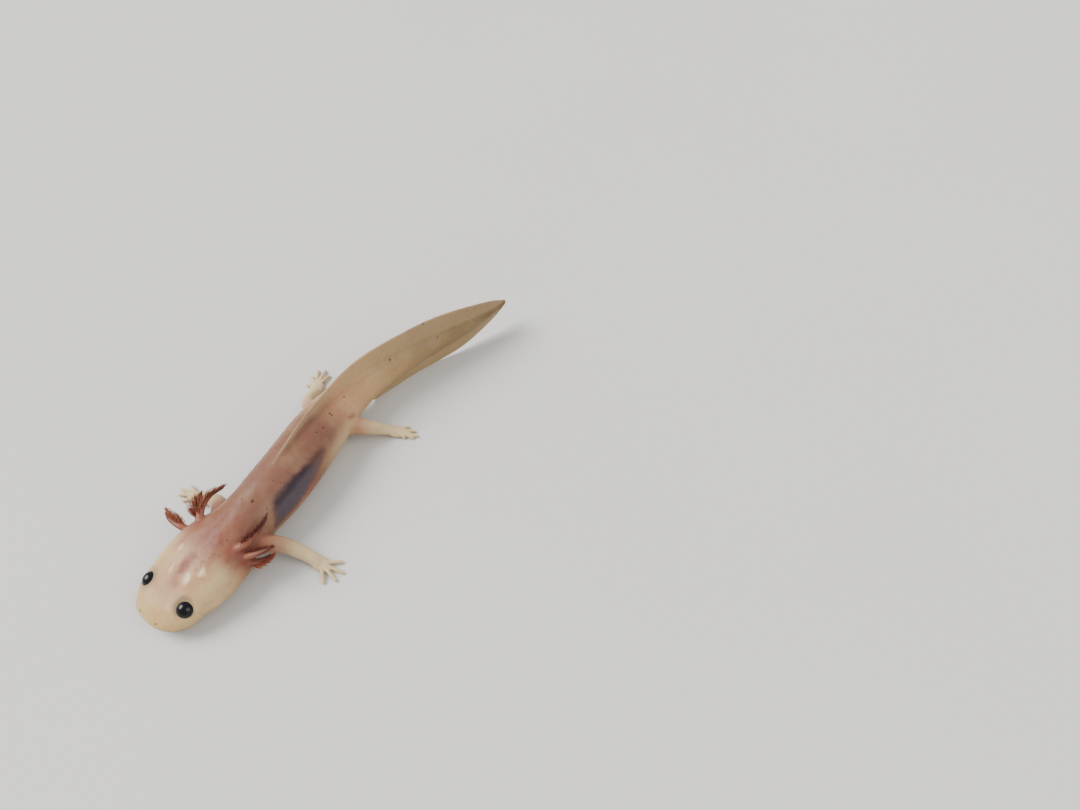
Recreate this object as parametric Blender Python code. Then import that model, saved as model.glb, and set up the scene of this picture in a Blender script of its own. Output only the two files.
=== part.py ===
"""A young pale axolotl, life size and still, resting on its belly and feet.

Frame: metres, +Z up, snout towards -Y, the animal's left side towards +X, the floor at Z = 0 and the
origin under the middle of its bounding box. Every place on the body is given as (along, side, height):
how far along the bent spine from the snout, how far to the animal's left, and how high above the floor.
"""

import math

import bmesh
import bpy
import numpy as np

MM = 0.001
GAP = 0.3 * MM

# Lengths along the spine
TOTAL_LENGTH = 96 * MM
HEAD_LENGTH = 19 * MM
NECK_END = 24.5 * MM
VENT = 54 * MM
TAIL_PART = 75 * MM
TAIL_CORE_END = 92.2 * MM
SPINE_SAMPLES = 1921
BODY_STEP = 1.2 * MM
TAIL_STEP = 1.5 * MM
LEAST_STEP_SHARE = 0.3
CREASE_ANGLE = math.radians(45)

# Heading of the spine at places along it: 0 points to +Y, positive turns towards -X
SPINE_HEADINGS = (
    (0, 4.5), (17, 4.5), (23, 7.5), (30, 11.5), (40, 18.0),
    (50, 11.5), (58, -0.5), (68, -10), (80, -15), (96, -2),
)

# Where the origin lies, measured from the snout across and back
ORIGIN_FROM_SNOUT = (-3.56 * MM, 47.18 * MM)

# Place along the spine, half width, top and underside of the fleshy body, all in mm
BODY = (
    (0.0, 6.7, 4.7, 1.0),
    (2.5, 6.8, 5.3, 0.9),
    (6.0, 7.3, 6.4, 0.7),
    (10.0, 7.95, 7.7, 0.5),
    (14.0, 7.95, 8.7, 0.3),
    (17.0, 7.3, 9.2, 0.2),
    (20.0, 5.9, 9.5, 0.1),
    (24.0, 5.3, 9.8, 0.0),
    (30.0, 5.55, 10.4, -0.15),
    (38.0, 5.6, 10.8, -0.2),
    (46.0, 5.3, 10.6, -0.15),
    (51.0, 4.6, 10.2, 0.1),
    (55.0, 3.6, 9.7, 0.9),
    (60.0, 2.85, 9.2, 1.7),
    (68.0, 2.15, 8.6, 2.6),
    (78.0, 1.5, 7.9, 3.7),
    (88.0, 0.85, 6.8, 4.9),
    (92.2, 0.45, 6.15, 5.5),
    (96.0, 0.4, 6.0, 5.6),
)

# The level at which the body is widest, which on the head is the line of the mouth
WIDEST = (
    (0, 2.6), (4, 2.75), (8.6, 3.5), (14, 4.1), (24, 4.9), (38, 5.2), (54, 5.5), (76, 5.85), (96, 5.8),
)
SECTION_POWER = ((0, 2.4), (14, 2.35), (24, 2.15), (96, 2.0))
SNOUT_ROUND = 6.0 * MM
SNOUT_POWER = 2.35
SNOUT_ROUND_Z = 3.4 * MM
BACK_HALF = 0.3 * MM
BACK_NARROWS_BELOW = 2 * MM
BODY_FACETS = (7, 8)
HEAD_FACETS = (6, 9)
SNOUT_RINGS = 9
SNOUT_FIRST_TURN = 0.1

# The fins' free edges, as heights above the floor
DORSAL_START = 33 * MM
DORSAL_EDGE = (
    (33, 11.3), (40, 11.9), (50, 12.4), (60, 12.8), (68, 12.9),
    (78, 12.2), (86, 10.7), (92, 8.6), (96, 6.3),
)
VENTRAL_START = 57 * MM
VENTRAL_EDGE = ((57, 0.4), (60, 0.1), (63, 0.0), (74, 0.0), (80, 0.5), (86, 1.6), (92, 3.5), (96, 5.3))
FIN_ROOT_HALF = 0.5 * MM
FIN_EDGE_HALF = 0.26 * MM
FIN_SHARES = (0.0, 0.5, 1.0)
FIN_STEP = 1.5 * MM
FIN_ROOT_EASE = 3 * MM

# The mouth and its lips
MOUTH_CORNER = 8.8 * MM
MOUTH_FADE = 1.6 * MM
LIP_TURN = 0.06
BESIDE_LIP_TURN = 0.2
LIP_HALF_HEIGHT = 0.24 * MM
LIP_GROOVE = 0.45 * MM
JAW_SET_BACK = 0.35 * MM
JAW_SLOPE = (0.3, 1.0)
MOST_PUSH_SHARE = 0.3

# The eyes, which have no lids, and the nostrils
EYE_RADIUS = 1.7 * MM
EYE_FACETS = (18, 10)
EYE_AT = (5.4 * MM, 4.85 * MM, 4.4 * MM)
NOSTRIL_RADIUS = 0.34 * MM
NOSTRIL_FACETS = (8, 6)
NOSTRIL_AT = (0.72 * MM, 2.2 * MM, 3.7 * MM)

# Grooves between the muscle blocks of the flank
COSTAL_FIRST = 26 * MM
COSTAL_PITCH = 2.0 * MM
COSTAL_COUNT = 12
COSTAL_DEPTH = 0.14 * MM
TORSO_STEP = COSTAL_PITCH / 2

# Limbs from root to palm: along, side, height, half width and half height, in mm
WRIST_ROW = 4
FORELEG_LEFT = (
    (20.4, 2.5, 4.9, 1.9, 1.9),
    (21.4, 5.6, 4.4, 1.75, 1.75),
    (23.2, 8.3, 3.3, 1.5, 1.45),
    (24.1, 11.2, 2.2, 1.35, 1.25),
    (24.5, 14.0, 1.2, 1.2, 1.0),
    (24.6, 15.6, 0.6, 1.4, 0.7),
    (24.5, 16.9, 0.5, 1.1, 0.6),
)
FINGERS_LEFT = ((22.2, 18.4), (23.6, 20.1), (25.2, 20.2), (26.7, 18.6))
FORELEG_RIGHT = (
    (20.4, -2.5, 4.9, 1.9, 1.9),
    (21.4, -5.6, 4.4, 1.75, 1.75),
    (23.2, -8.2, 3.3, 1.5, 1.45),
    (23.8, -11.1, 2.2, 1.35, 1.25),
    (23.4, -13.9, 1.2, 1.2, 1.0),
    (23.0, -15.5, 0.6, 1.4, 0.7),
    (22.5, -16.8, 0.5, 1.1, 0.6),
)
FINGERS_RIGHT = ((20.2, -17.9), (21.0, -19.8), (22.6, -20.4), (24.4, -19.2))
HINDLEG_LEFT = (
    (48.6, 1.8, 5.0, 2.1, 2.1),
    (50.2, 4.9, 4.4, 1.9, 1.9),
    (52.3, 7.2, 3.2, 1.45, 1.45),
    (54.2, 8.6, 2.0, 1.2, 1.2),
    (55.6, 9.5, 1.2, 1.15, 0.95),
    (56.8, 10.6, 0.6, 1.5, 0.7),
    (57.8, 11.6, 0.5, 1.3, 0.6),
)
TOES_LEFT = ((56.6, 13.2), (58.3, 14.6), (59.7, 14.9), (60.5, 13.6), (60.3, 11.6))
HINDLEG_RIGHT = (
    (48.6, -1.8, 5.0, 2.1, 2.1),
    (49.9, -4.9, 4.4, 1.9, 1.9),
    (50.7, -7.8, 3.2, 1.45, 1.45),
    (52.2, -9.9, 2.0, 1.2, 1.2),
    (53.9, -11.0, 1.2, 1.15, 0.95),
    (55.1, -12.0, 0.6, 1.5, 0.7),
    (56.1, -12.9, 0.5, 1.3, 0.6),
)
TOES_RIGHT = ((54.8, -14.8), (56.5, -16.0), (58.0, -16.1), (58.8, -14.8), (58.5, -12.8))
DIGIT_SHARES = (0.0, 0.3, 0.6, 0.85, 0.97)
DIGIT_HALVES = (0.42 * MM, 0.39 * MM, 0.35 * MM, 0.29 * MM, 0.18 * MM)
DIGIT_ARCH = 0.25 * MM
DIGIT_SIDES = 8
PALM_END_SHARE = 0.4
PALM_ROW = -3
LIMB_SIDES = 12
LEG_RING_STEP = 0.95 * MM
FOOT_RING_STEP = 0.7 * MM
FORELEG_CUTTER = (12 * MM, 32 * MM, 1.0 * MM)
HINDLEG_CUTTER = (40 * MM, 60 * MM, 1.0 * MM)
FLOOR_DEPTH = 10 * MM

# Gills: the stalk from root to tip as along, side and height in mm, the way its filaments fan out, and
# the longest filament in mm
GILLS = {
    "gill_left_1": (
        ((17.0, 4.8, 7.6), (19.4, 6.3, 8.5), (21.8, 6.7, 9.2), (24.2, 6.2, 9.6)),
        (0.2, -0.9, 0.7),
        1.6,
    ),
    "gill_left_2": (
        ((17.2, 5.9, 6.1), (18.5, 7.9, 6.9), (19.7, 9.3, 7.5), (20.8, 10.3, 7.9)),
        (0.9, 0.2, 0.1),
        1.5,
    ),
    "gill_left_3": (
        ((17.2, 6.2, 4.6), (18.4, 8.0, 4.9), (19.6, 9.0, 5.1), (20.7, 9.4, 5.2)),
        (-0.3, 0.5, -0.8),
        1.6,
    ),
    "gill_right_1": (
        ((17.0, -4.6, 7.6), (19.2, -6.0, 8.7), (22.0, -6.7, 9.0), (25.2, -6.4, 8.4)),
        (0.1, -0.4, 1.0),
        1.6,
    ),
    "gill_right_2": (
        ((17.3, -5.6, 6.3), (18.8, -7.4, 7.1), (20.3, -8.8, 7.3), (22.0, -9.8, 7.0)),
        (0.4, -0.8, 0.3),
        1.9,
    ),
    "gill_right_3": (
        ((15.8, -6.8, 4.9), (15.0, -9.6, 5.4), (14.9, -12.1, 5.5), (15.5, -14.3, 5.1)),
        (1.0, 0.1, 0.2),
        2.3,
    ),
}
STALK_ROOT_HALF = 0.85 * MM
STALK_TIP_HALF = 0.3 * MM
STALK_FLATNESS = 0.75
STALK_RINGS = 9
STALK_SIDES = 10
STALK_TIP_LENGTH = 0.3 * MM
GILL_CUTTER = (8 * MM, 34 * MM, 1.2 * MM)

# Gill filaments, in two rows along each stalk
FILAMENTS_A_ROW = 9
FILAMENT_SIDES = 4
FILAMENT_SHARES = (0.0, 0.62, 1.0)
FILAMENT_STAGGER = 0.5
FILAMENT_FIRST = 0.27
FILAMENT_LAST = 0.95
FILAMENT_SHORTER = 0.7
FILAMENT_VARIES = 0.11
FILAMENT_ROOT_HALF = 0.27 * MM
FILAMENT_TIP_HALF = 0.13 * MM
FILAMENT_SPREAD = math.radians(36)
FILAMENT_SWEEP = (math.radians(27), math.radians(50))
FILAMENT_BEND = math.radians(14)
FILAMENT_SCATTER = math.radians(4.5)

# Looks: colour and roughness
PALE_SKIN = ((0.56, 0.42, 0.29, 1), 0.3)
PINK_SKIN = ((0.46, 0.28, 0.21, 1), 0.3)
FIN_SKIN = ((0.36, 0.27, 0.18, 1), 0.35)
LEG_SKIN = ((0.62, 0.50, 0.37, 1), 0.35)
GILL_RED = ((0.27, 0.07, 0.05, 1), 0.4)
EYE_BLACK = ((0.006, 0.006, 0.010, 1), 0.08)


def smooth(table, places):
    """Reads a table of (place, value) at these places, on a cubic curve through its rows."""
    at, value = np.array(table, float).T
    slope = np.gradient(value, at)
    places = np.clip(places, at[0], at[-1])
    row = np.clip(np.searchsorted(at, places, side="right") - 1, 0, len(at) - 2)
    span = at[row + 1] - at[row]
    t = (places - at[row]) / span
    rise = 3 * t**2 - 2 * t**3
    return (
        value[row] * (1 - rise)
        + value[row + 1] * rise
        + span * (t - 2 * t**2 + t**3) * slope[row]
        + span * (t**3 - t**2) * slope[row + 1]
    )


def spine_line():
    """The spine seen from above: places along it, their headings, and their X and Y."""
    places = np.linspace(0, TOTAL_LENGTH, SPINE_SAMPLES)
    headings = np.radians(smooth(SPINE_HEADINGS, places / MM))
    step = places[1]
    x = np.concatenate([[0], np.cumsum(-np.sin(headings[:-1]) * step)])
    y = np.concatenate([[0], np.cumsum(np.cos(headings[:-1]) * step)])
    return places, headings, x - ORIGIN_FROM_SNOUT[0], y - ORIGIN_FROM_SNOUT[1]


SPINE_PLACES, SPINE_TURNS, SPINE_X, SPINE_Y = spine_line()


def place(along, side, height):
    """World points at these places along the spine, distances to its left, and heights."""
    heading = np.interp(along, SPINE_PLACES, SPINE_TURNS)
    x = np.interp(along, SPINE_PLACES, SPINE_X) + side * np.cos(heading)
    y = np.interp(along, SPINE_PLACES, SPINE_Y) + side * np.sin(heading)
    return np.stack(np.broadcast_arrays(x, y, height), axis=-1)


def place_rows(rows):
    """World points of rows that start with along, side and height in mm."""
    along, side, height = np.array([row[:3] for row in rows]).T * MM
    return place(along, side, height)


def body_sizes(along):
    """Half width, widest level, top, underside and section power of the flesh at one place."""
    mm = along / MM
    width, top, under = (smooth([(row[0], row[i]) for row in BODY], mm) * MM for i in (1, 2, 3))
    widest = smooth(WIDEST, mm) * MM
    blunt = (1 - (1 - np.clip(along / SNOUT_ROUND, 0, 1)) ** SNOUT_POWER) ** (1 / SNOUT_POWER)
    blunt_z = np.sqrt(1 - (1 - np.clip(along / SNOUT_ROUND_Z, 0, 1)) ** 2)
    top = widest + (top - widest) * blunt_z
    under = widest - (widest - under) * blunt_z
    return width * blunt, widest, top, under, smooth(SECTION_POWER, mm)


def costal(along):
    """How deep the flank is pinched here: shallow grooves at an even pitch."""
    turn = (along - COSTAL_FIRST) / COSTAL_PITCH
    inside = (turn > -0.5) and (turn < COSTAL_COUNT - 0.5)
    return COSTAL_DEPTH * inside * max(0.0, math.cos(2 * math.pi * turn))


def fin_root_half(along, start):
    """Half the thickness of the back or belly ridge here, which widens where a fin stands on it."""
    ease = min(1.0, max(0.0, (along - start) / FIN_ROOT_EASE))
    return BACK_HALF + (FIN_ROOT_HALF - BACK_HALF) * ease


def section(along, turns, grow=0.0):
    """One side of the flesh from underside to back, as (side, height) at these turns.

    It is a superellipse about the widest level, never thinner than a fin's root, flat on the floor.
    """
    width, widest, top, under, power = body_sizes(along)
    sine, cosine = np.sin(turns), np.maximum(np.cos(turns), 0)
    reach = np.where(sine > 0, top - widest, widest - under) + grow
    height = widest + np.sign(sine) * reach * np.abs(sine) ** (2 / power)
    side = (width - costal(along) * cosine + grow) * cosine ** (2 / power)
    ridge = np.where(sine > 0, fin_root_half(along, DORSAL_START), fin_root_half(along, VENTRAL_START))
    blunt = min(1.0, width / BACK_NARROWS_BELOW)
    return np.hypot(side, ridge * blunt), np.maximum(height, -grow)


def both_sides(along, side, height):
    """A closed ring of points: up the animal's left side, then down its right."""
    left = place(along, side, height)
    right = place(along, -side, height)[::-1]
    return np.concatenate([left, right])


def quarter_turns(low, high):
    """Turns from the underside (-90 degrees) over the widest level to the back."""
    quarter = math.pi / 2
    return np.concatenate([np.linspace(-quarter, 0, low + 1)[:-1], np.linspace(0, quarter, high + 1)])


def finish(name, look):
    """A material with this colour and roughness."""
    colour, roughness = look
    made = bpy.data.materials.new(name)
    made.use_nodes = True
    shader = made.node_tree.nodes["Principled BSDF"]
    shader.inputs["Base Color"].default_value = colour
    shader.inputs["Roughness"].default_value = roughness
    shader.inputs["Metallic"].default_value = 0.0
    return made


def shown(name, mesh, look):
    """An object in the scene with a mesh, in a material of its own if it is given a look."""
    made = bpy.data.objects.new(name, mesh)
    bpy.context.scene.collection.objects.link(made)
    if look:
        mesh.materials.append(finish(name, look))
    mesh.shade_smooth()
    return made


def mesh_object(name, points, faces, look=None):
    mesh = bpy.data.meshes.new(name)
    mesh.from_pydata([tuple(float(v) for v in p) for p in points], [], faces)
    mesh.update()
    made = shown(name, mesh, look)
    mesh.set_sharp_from_angle(angle=CREASE_ANGLE)
    return made


def loft(name, rings, look=None, first_pole=None, last_pole=None):
    """A closed skin over rings of equal count, split alike on both sides of the animal.

    The rings turn so that the skin faces out. Each end fans out from a pole, or is closed by a ladder
    of rungs from one side of its ring to the other.
    """
    count, sides = rings.shape[:2]
    points = list(rings.reshape(-1, 3))
    faces = []
    for i in range(count - 1):
        for j in range(sides):
            a, b = i * sides + j, i * sides + (j + 1) % sides
            c, d = b + sides, a + sides
            faces += [(a, c, b), (a, d, c)] if j < sides / 2 else [(a, d, b), (b, d, c)]
    for ring, pole, is_first in ((0, first_pole, True), (count - 1, last_pole, False)):
        loop = [ring * sides + j for j in range(sides)]
        if pole is None:
            for j in range(sides // 2 - 1):
                a, b, c, d = loop[j], loop[j + 1], loop[sides - 2 - j], loop[sides - 1 - j]
                faces += [(a, b, c), (a, c, d)] if is_first else [(c, b, a), (d, c, a)]
            continue
        points.append(np.array(pole))
        tip = len(points) - 1
        for j in range(sides):
            here, after = loop[j], loop[(j + 1) % sides]
            faces.append((here, after, tip) if is_first else (after, here, tip))
    return mesh_object(name, points, faces, look)


def keep_largest(mesh):
    """Deletes all but the closed surface with the most room inside."""
    shape = bmesh.new()
    shape.from_mesh(mesh)
    left = set(shape.faces)
    groups = []
    while left:
        stack = [left.pop()]
        group = set(stack)
        while stack:
            for edge in stack.pop().edges:
                for face in edge.link_faces:
                    if face in left:
                        left.discard(face)
                        group.add(face)
                        stack.append(face)
        groups.append(group)
    groups.sort(key=lambda faces: sum(face.calc_area() for face in faces))
    scraps = [face for group in groups[:-1] for face in group]
    bmesh.ops.delete(shape, geom=scraps, context="FACES")
    shape.to_mesh(mesh)
    shape.free()


def combine(target, pieces, operation, solver="EXACT"):
    """Joins closed pieces to an object, or cuts them out of it, in one Boolean, and removes them."""
    group = bpy.data.collections.new("pieces")
    bpy.context.scene.collection.children.link(group)
    for piece in pieces:
        bpy.context.scene.collection.objects.unlink(piece)
        group.objects.link(piece)
    joining = target.modifiers.new(operation.lower(), "BOOLEAN")
    joining.operation = operation
    joining.operand_type = "COLLECTION"
    joining.collection = group
    joining.solver = solver
    bpy.context.view_layer.update()
    graph = bpy.context.evaluated_depsgraph_get()
    mesh = bpy.data.meshes.new_from_object(target.evaluated_get(graph), depsgraph=graph)
    target.modifiers.clear()
    before = target.data
    target.data = mesh
    bpy.data.meshes.remove(before)
    for piece in list(group.objects):
        bpy.data.objects.remove(piece, do_unlink=True)
    bpy.data.collections.remove(group)
    keep_largest(mesh)
    mesh.name = target.name
    mesh.shade_smooth()
    mesh.set_sharp_from_angle(angle=CREASE_ANGLE)


def body_copy(start, end, step, grow):
    """A closed copy of a stretch of the flesh, grown all round, to cut with."""
    turns = quarter_turns(*BODY_FACETS)
    places = stepped(start, end, step)
    rings = [both_sides(s, *section(s, turns, grow)) for s in places]
    return loft("body_copy", np.array(rings))


def stepped(start, end, step):
    """Places from start to end, both included, with whole steps on a fixed grid between them.

    A step on the grid that would lie too close to either end is left out.
    """
    first = math.ceil(start / step + LEAST_STEP_SHARE)
    last = math.floor(end / step - LEAST_STEP_SHARE)
    inner = np.arange(first, last + 1) * step
    return np.concatenate([[start], inner, [end]])


def mouth_rings(places, turns):
    """The head's rings, with the mouth as a groove that runs round the snout to both corners.

    The groove and the lower jaw are pushed in square to the snout's outline, seen from above.
    """
    mouth = int(np.argmin(np.abs(turns)))
    rings = []
    for along in places:
        side, height = section(along, turns)
        inward = min(1.0, along / SNOUT_ROUND)
        backward = math.sqrt(max(0.0, 1 - inward**2))
        push = np.zeros(len(turns))
        push[:mouth] = JAW_SET_BACK * np.sin(np.linspace(*JAW_SLOPE, mouth) * math.pi / 2)
        push[mouth] = LIP_GROOVE + JAW_SET_BACK / 2
        push *= float(np.clip((MOUTH_CORNER - along) / MOUTH_FADE, 0, 1))
        blunt = min(1.0, (along / SNOUT_ROUND_Z) ** 0.5)
        height[mouth - 1] = height[mouth] - LIP_HALF_HEIGHT * blunt
        height[mouth + 1] = height[mouth] + LIP_HALF_HEIGHT * blunt
        side = side - np.minimum(push * inward, side * MOST_PUSH_SHARE)
        rings.append(both_sides(along + push * backward, side, height))
    return np.array(rings)


def head():
    """The head, with its mouth, sockets for the eyes and two nostrils."""
    quarter = math.pi / 2
    low = np.linspace(-quarter, -BESIDE_LIP_TURN, HEAD_FACETS[0])
    high = np.linspace(BESIDE_LIP_TURN, quarter, HEAD_FACETS[1])
    turns = np.concatenate([low, [-LIP_TURN, 0.0, LIP_TURN], high])
    snout = SNOUT_ROUND * (1 - np.cos(np.linspace(SNOUT_FIRST_TURN, quarter, SNOUT_RINGS)))
    back = stepped(SNOUT_ROUND, HEAD_LENGTH - GAP / 2, BODY_STEP)[1:]
    made = loft("head", mouth_rings(np.concatenate([snout, back]), turns), PALE_SKIN)
    cutters = []
    for left in (1, -1):
        cutters.append(ball("socket", EYE_AT, left, EYE_RADIUS + GAP, EYE_FACETS))
        cutters.append(ball("nostril", NOSTRIL_AT, left, NOSTRIL_RADIUS, NOSTRIL_FACETS))
    combine(made, cutters, "DIFFERENCE")


def ball(name, at, left, radius, facets, look=None):
    """A sphere on the animal's left or right side."""
    mesh = bpy.data.meshes.new(name)
    shape = bmesh.new()
    bmesh.ops.create_uvsphere(shape, u_segments=facets[0], v_segments=facets[1], radius=radius)
    bmesh.ops.translate(shape, vec=place(at[0], at[1] * left, at[2]), verts=shape.verts)
    shape.to_mesh(mesh)
    shape.free()
    return shown(name, mesh, look)


def eyes():
    for side_name, left in (("left", 1), ("right", -1)):
        ball(f"eye_{side_name}", EYE_AT, left, EYE_RADIUS, EYE_FACETS, EYE_BLACK)


def flesh(name, start, end, step, look):
    """One length of the body between two flat cuts, half a gap inside its ends."""
    turns = quarter_turns(*BODY_FACETS)
    places = stepped(start + GAP / 2, end - GAP / 2, step)
    rings = [both_sides(s, *section(s, turns)) for s in places]
    loft(name, np.array(rings), look)


def fin_root(along, upward):
    """Height of a fin's root: a gap off the flesh, and half a gap off the other fin past its end."""
    _, _, top, under, _ = body_sizes(min(along, TAIL_CORE_END))
    middle = (top + under) / 2
    reach = (top - under) / 2 + GAP
    past = np.interp(along, (TAIL_CORE_END + GAP, TAIL_CORE_END + 3 * GAP), (reach, GAP / 2))
    return middle + (past if upward else -past)


def fin(name, start, edge_table, upward):
    """A blade that thins from its root to its free edge, split alike on both faces."""
    rings = []
    for along in stepped(start, TOTAL_LENGTH, FIN_STEP):
        root = fin_root(along, upward)
        edge = smooth(edge_table, along / MM) * MM
        least = root + GAP if upward else root - GAP
        edge = max(edge, least) if upward else max(0.0, min(edge, least))
        share = np.array(FIN_SHARES)
        height = root + (edge - root) * share
        half = fin_root_half(along, start) * (1 - share) + FIN_EDGE_HALF * share
        if not upward:
            height, half = height[::-1], half[::-1]
        rings.append(both_sides(along, half, height))
    loft(name, np.array(rings), FIN_SKIN)


def tube_rings(path, widths, heights, sides):
    """Rings square to a path, level across, with these half widths and half heights."""
    ahead = np.gradient(path, axis=0)
    ahead /= np.linalg.norm(ahead, axis=1)[:, None]
    across = np.cross(ahead, (0.0, 0.0, 1.0))
    across /= np.linalg.norm(across, axis=1)[:, None]
    upright = np.cross(across, ahead)
    turn = np.linspace(0, 2 * math.pi, sides, endpoint=False)
    wide = widths[:, None, None] * across[:, None] * np.cos(turn)[None, :, None]
    tall = heights[:, None, None] * upright[:, None] * np.sin(turn)[None, :, None]
    return path[:, None] + wide + tall


def curve_through(rows, step, start=0.0, end=None):
    """Rows about a step apart on a smooth curve through these rows, from one length along it to another."""
    rows = np.array(rows, float)
    at = lengths_along(rows)
    end = at[-1] if end is None else end
    places = np.linspace(start, end, max(2, round((end - start) / step) + 1))
    return np.stack([smooth(np.stack([at, column], 1), places) for column in rows.T], 1)


def lengths_along(rows):
    """How far each row lies along the line through all of them."""
    steps = np.linalg.norm(np.diff(rows[:, :3], axis=0), axis=1)
    return np.concatenate([[0], np.cumsum(steps)])


def limb(side_name, kind, rows, digit_tips, cutter):
    """A leg cut to the body's surface, and its foot, which meets it across a gap and lies on the floor."""
    leg_name, foot_name, digit_name = kind
    table = np.hstack([place_rows(rows), np.array(rows)[:, 3:] * MM])
    wrist = lengths_along(table)[WRIST_ROW]
    upper = curve_through(table, LEG_RING_STEP, end=wrist - GAP / 2)
    lower = curve_through(table, FOOT_RING_STEP, start=wrist + GAP / 2)

    leg_rings = tube_rings(upper[:, :3], upper[:, 3], upper[:, 4], LIMB_SIDES)
    leg = loft(f"{leg_name}_{side_name}", leg_rings, LEG_SKIN)
    combine(leg, [body_copy(*cutter, GAP)], "DIFFERENCE")

    palm_end = lower[-1, :3] + (lower[-1, :3] - lower[-2, :3]) * PALM_END_SHARE
    palm_rings = tube_rings(lower[:, :3], lower[:, 3], lower[:, 4], LIMB_SIDES)
    foot = loft(f"{foot_name}_{side_name}", palm_rings, LEG_SKIN, last_pole=palm_end)
    root = lower[PALM_ROW, :3]
    digits = [digit(digit_name, root, along * MM, side * MM) for along, side in digit_tips]
    combine(foot, digits, "UNION", "MANIFOLD")
    combine(foot, [floor_block()], "DIFFERENCE")


def digit(name, root, along, side):
    """A finger or toe from inside the palm to its rounded tip on the floor."""
    half = np.array(DIGIT_HALVES)
    tip = place(along, side, half[-1])
    share = np.array(DIGIT_SHARES)[:, None]
    arch = np.sin(share * math.pi) * np.array([[0, 0, DIGIT_ARCH]])
    path = root + (tip - root) * share + arch
    return loft(name, tube_rings(path, half, half, DIGIT_SIDES), last_pole=tip)


def floor_block():
    """A block whose top is the floor, to cut the soles flat."""
    mesh = bpy.data.meshes.new("floor_block")
    shape = bmesh.new()
    bmesh.ops.create_cube(shape, size=1)
    bmesh.ops.scale(shape, vec=(TOTAL_LENGTH * 2, TOTAL_LENGTH * 2, FLOOR_DEPTH), verts=shape.verts)
    bmesh.ops.translate(shape, vec=(0, 0, -FLOOR_DEPTH / 2), verts=shape.verts)
    shape.to_mesh(mesh)
    shape.free()
    return shown("floor_block", mesh, None)


def filament(path, ahead, reached, fan, longest, row, draw):
    """One gill filament: a thin tapering blade rooted on the stalk's middle, swept to the stalk's tip."""
    at = np.linspace(0, 1, len(path))
    root = np.array([np.interp(reached, at, column) for column in path.T])
    along = np.array([np.interp(reached, at, column) for column in ahead.T])
    outward = fan - along * (fan @ along)
    outward /= np.linalg.norm(outward)
    sideways = np.cross(along, outward)
    turn = row * FILAMENT_SPREAD + draw.normal() * FILAMENT_SCATTER
    out = outward * math.cos(turn) + sideways * math.sin(turn)
    sweep = FILAMENT_SWEEP[0] + (FILAMENT_SWEEP[1] - FILAMENT_SWEEP[0]) * reached
    stalk_half = STALK_ROOT_HALF + (STALK_TIP_HALF - STALK_ROOT_HALF) * reached
    varied = draw.uniform(1 - FILAMENT_VARIES, 1 + FILAMENT_VARIES)
    length = stalk_half + longest * (1 - FILAMENT_SHORTER * reached**2) * varied
    share = np.array(FILAMENT_SHARES)[:, None]
    bent = sweep + FILAMENT_BEND * share
    line = root + length * share * (out * np.cos(bent) + along * np.sin(bent))
    half = np.interp(share[:-1, 0], (0, 1), (FILAMENT_ROOT_HALF, FILAMENT_TIP_HALF))
    return loft("filament", tube_rings(line[:-1], half, half, FILAMENT_SIDES), last_pole=line[-1])


def gill(name, rows, fan, longest, seed):
    """A gill stalk on the back corner of the head, with two rows of filaments along it."""
    line = place_rows(rows)
    path = curve_through(line, lengths_along(line)[-1] / (STALK_RINGS - 1))
    half = np.linspace(STALK_ROOT_HALF, STALK_TIP_HALF, STALK_RINGS)
    ahead = np.gradient(path, axis=0)
    ahead /= np.linalg.norm(ahead, axis=1)[:, None]
    rings = tube_rings(path, half, half * STALK_FLATNESS, STALK_SIDES)
    made = loft(name, rings, GILL_RED, last_pole=path[-1] + ahead[-1] * STALK_TIP_LENGTH)
    root = np.array(rows[0]) * MM
    fan_way = place(*(root + np.array(fan) * MM)) - place(*root)
    pitch = (FILAMENT_LAST - FILAMENT_FIRST) / FILAMENTS_A_ROW
    draw = np.random.default_rng(seed)
    pieces = []
    for row, stagger in ((-1, 0.0), (1, FILAMENT_STAGGER)):
        for count in range(FILAMENTS_A_ROW):
            reached = FILAMENT_FIRST + pitch * (count + stagger)
            pieces.append(filament(path, ahead, reached, fan_way, longest * MM, row, draw))
    combine(made, pieces, "UNION", "MANIFOLD")
    combine(made, [body_copy(*GILL_CUTTER, GAP)], "DIFFERENCE", "MANIFOLD")


def main():
    for old in list(bpy.data.objects):
        bpy.data.objects.remove(old, do_unlink=True)
    head()
    eyes()
    flesh("neck", HEAD_LENGTH, NECK_END, BODY_STEP, PINK_SKIN)
    flesh("torso", NECK_END, VENT, TORSO_STEP, PINK_SKIN)
    flesh("tail_base", VENT, TAIL_PART, TAIL_STEP, PALE_SKIN)
    flesh("tail_end", TAIL_PART, TAIL_CORE_END, TAIL_STEP, PALE_SKIN)
    fin("dorsal_fin", DORSAL_START, DORSAL_EDGE, True)
    fin("tail_fin_lower", VENTRAL_START, VENTRAL_EDGE, False)
    front = ("foreleg", "forefoot", "finger")
    rear = ("hindleg", "hindfoot", "toe")
    limb("left", front, FORELEG_LEFT, FINGERS_LEFT, FORELEG_CUTTER)
    limb("right", front, FORELEG_RIGHT, FINGERS_RIGHT, FORELEG_CUTTER)
    limb("left", rear, HINDLEG_LEFT, TOES_LEFT, HINDLEG_CUTTER)
    limb("right", rear, HINDLEG_RIGHT, TOES_RIGHT, HINDLEG_CUTTER)
    for seed, (name, (rows, fan, longest)) in enumerate(GILLS.items()):
        gill(name, rows, fan, longest, seed)
    group = bpy.data.collections.new("axolotl")
    for made in list(bpy.context.scene.collection.objects):
        bpy.context.scene.collection.objects.unlink(made)
        group.objects.link(made)
    bpy.context.scene.collection.children.link(group)


main()
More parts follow.
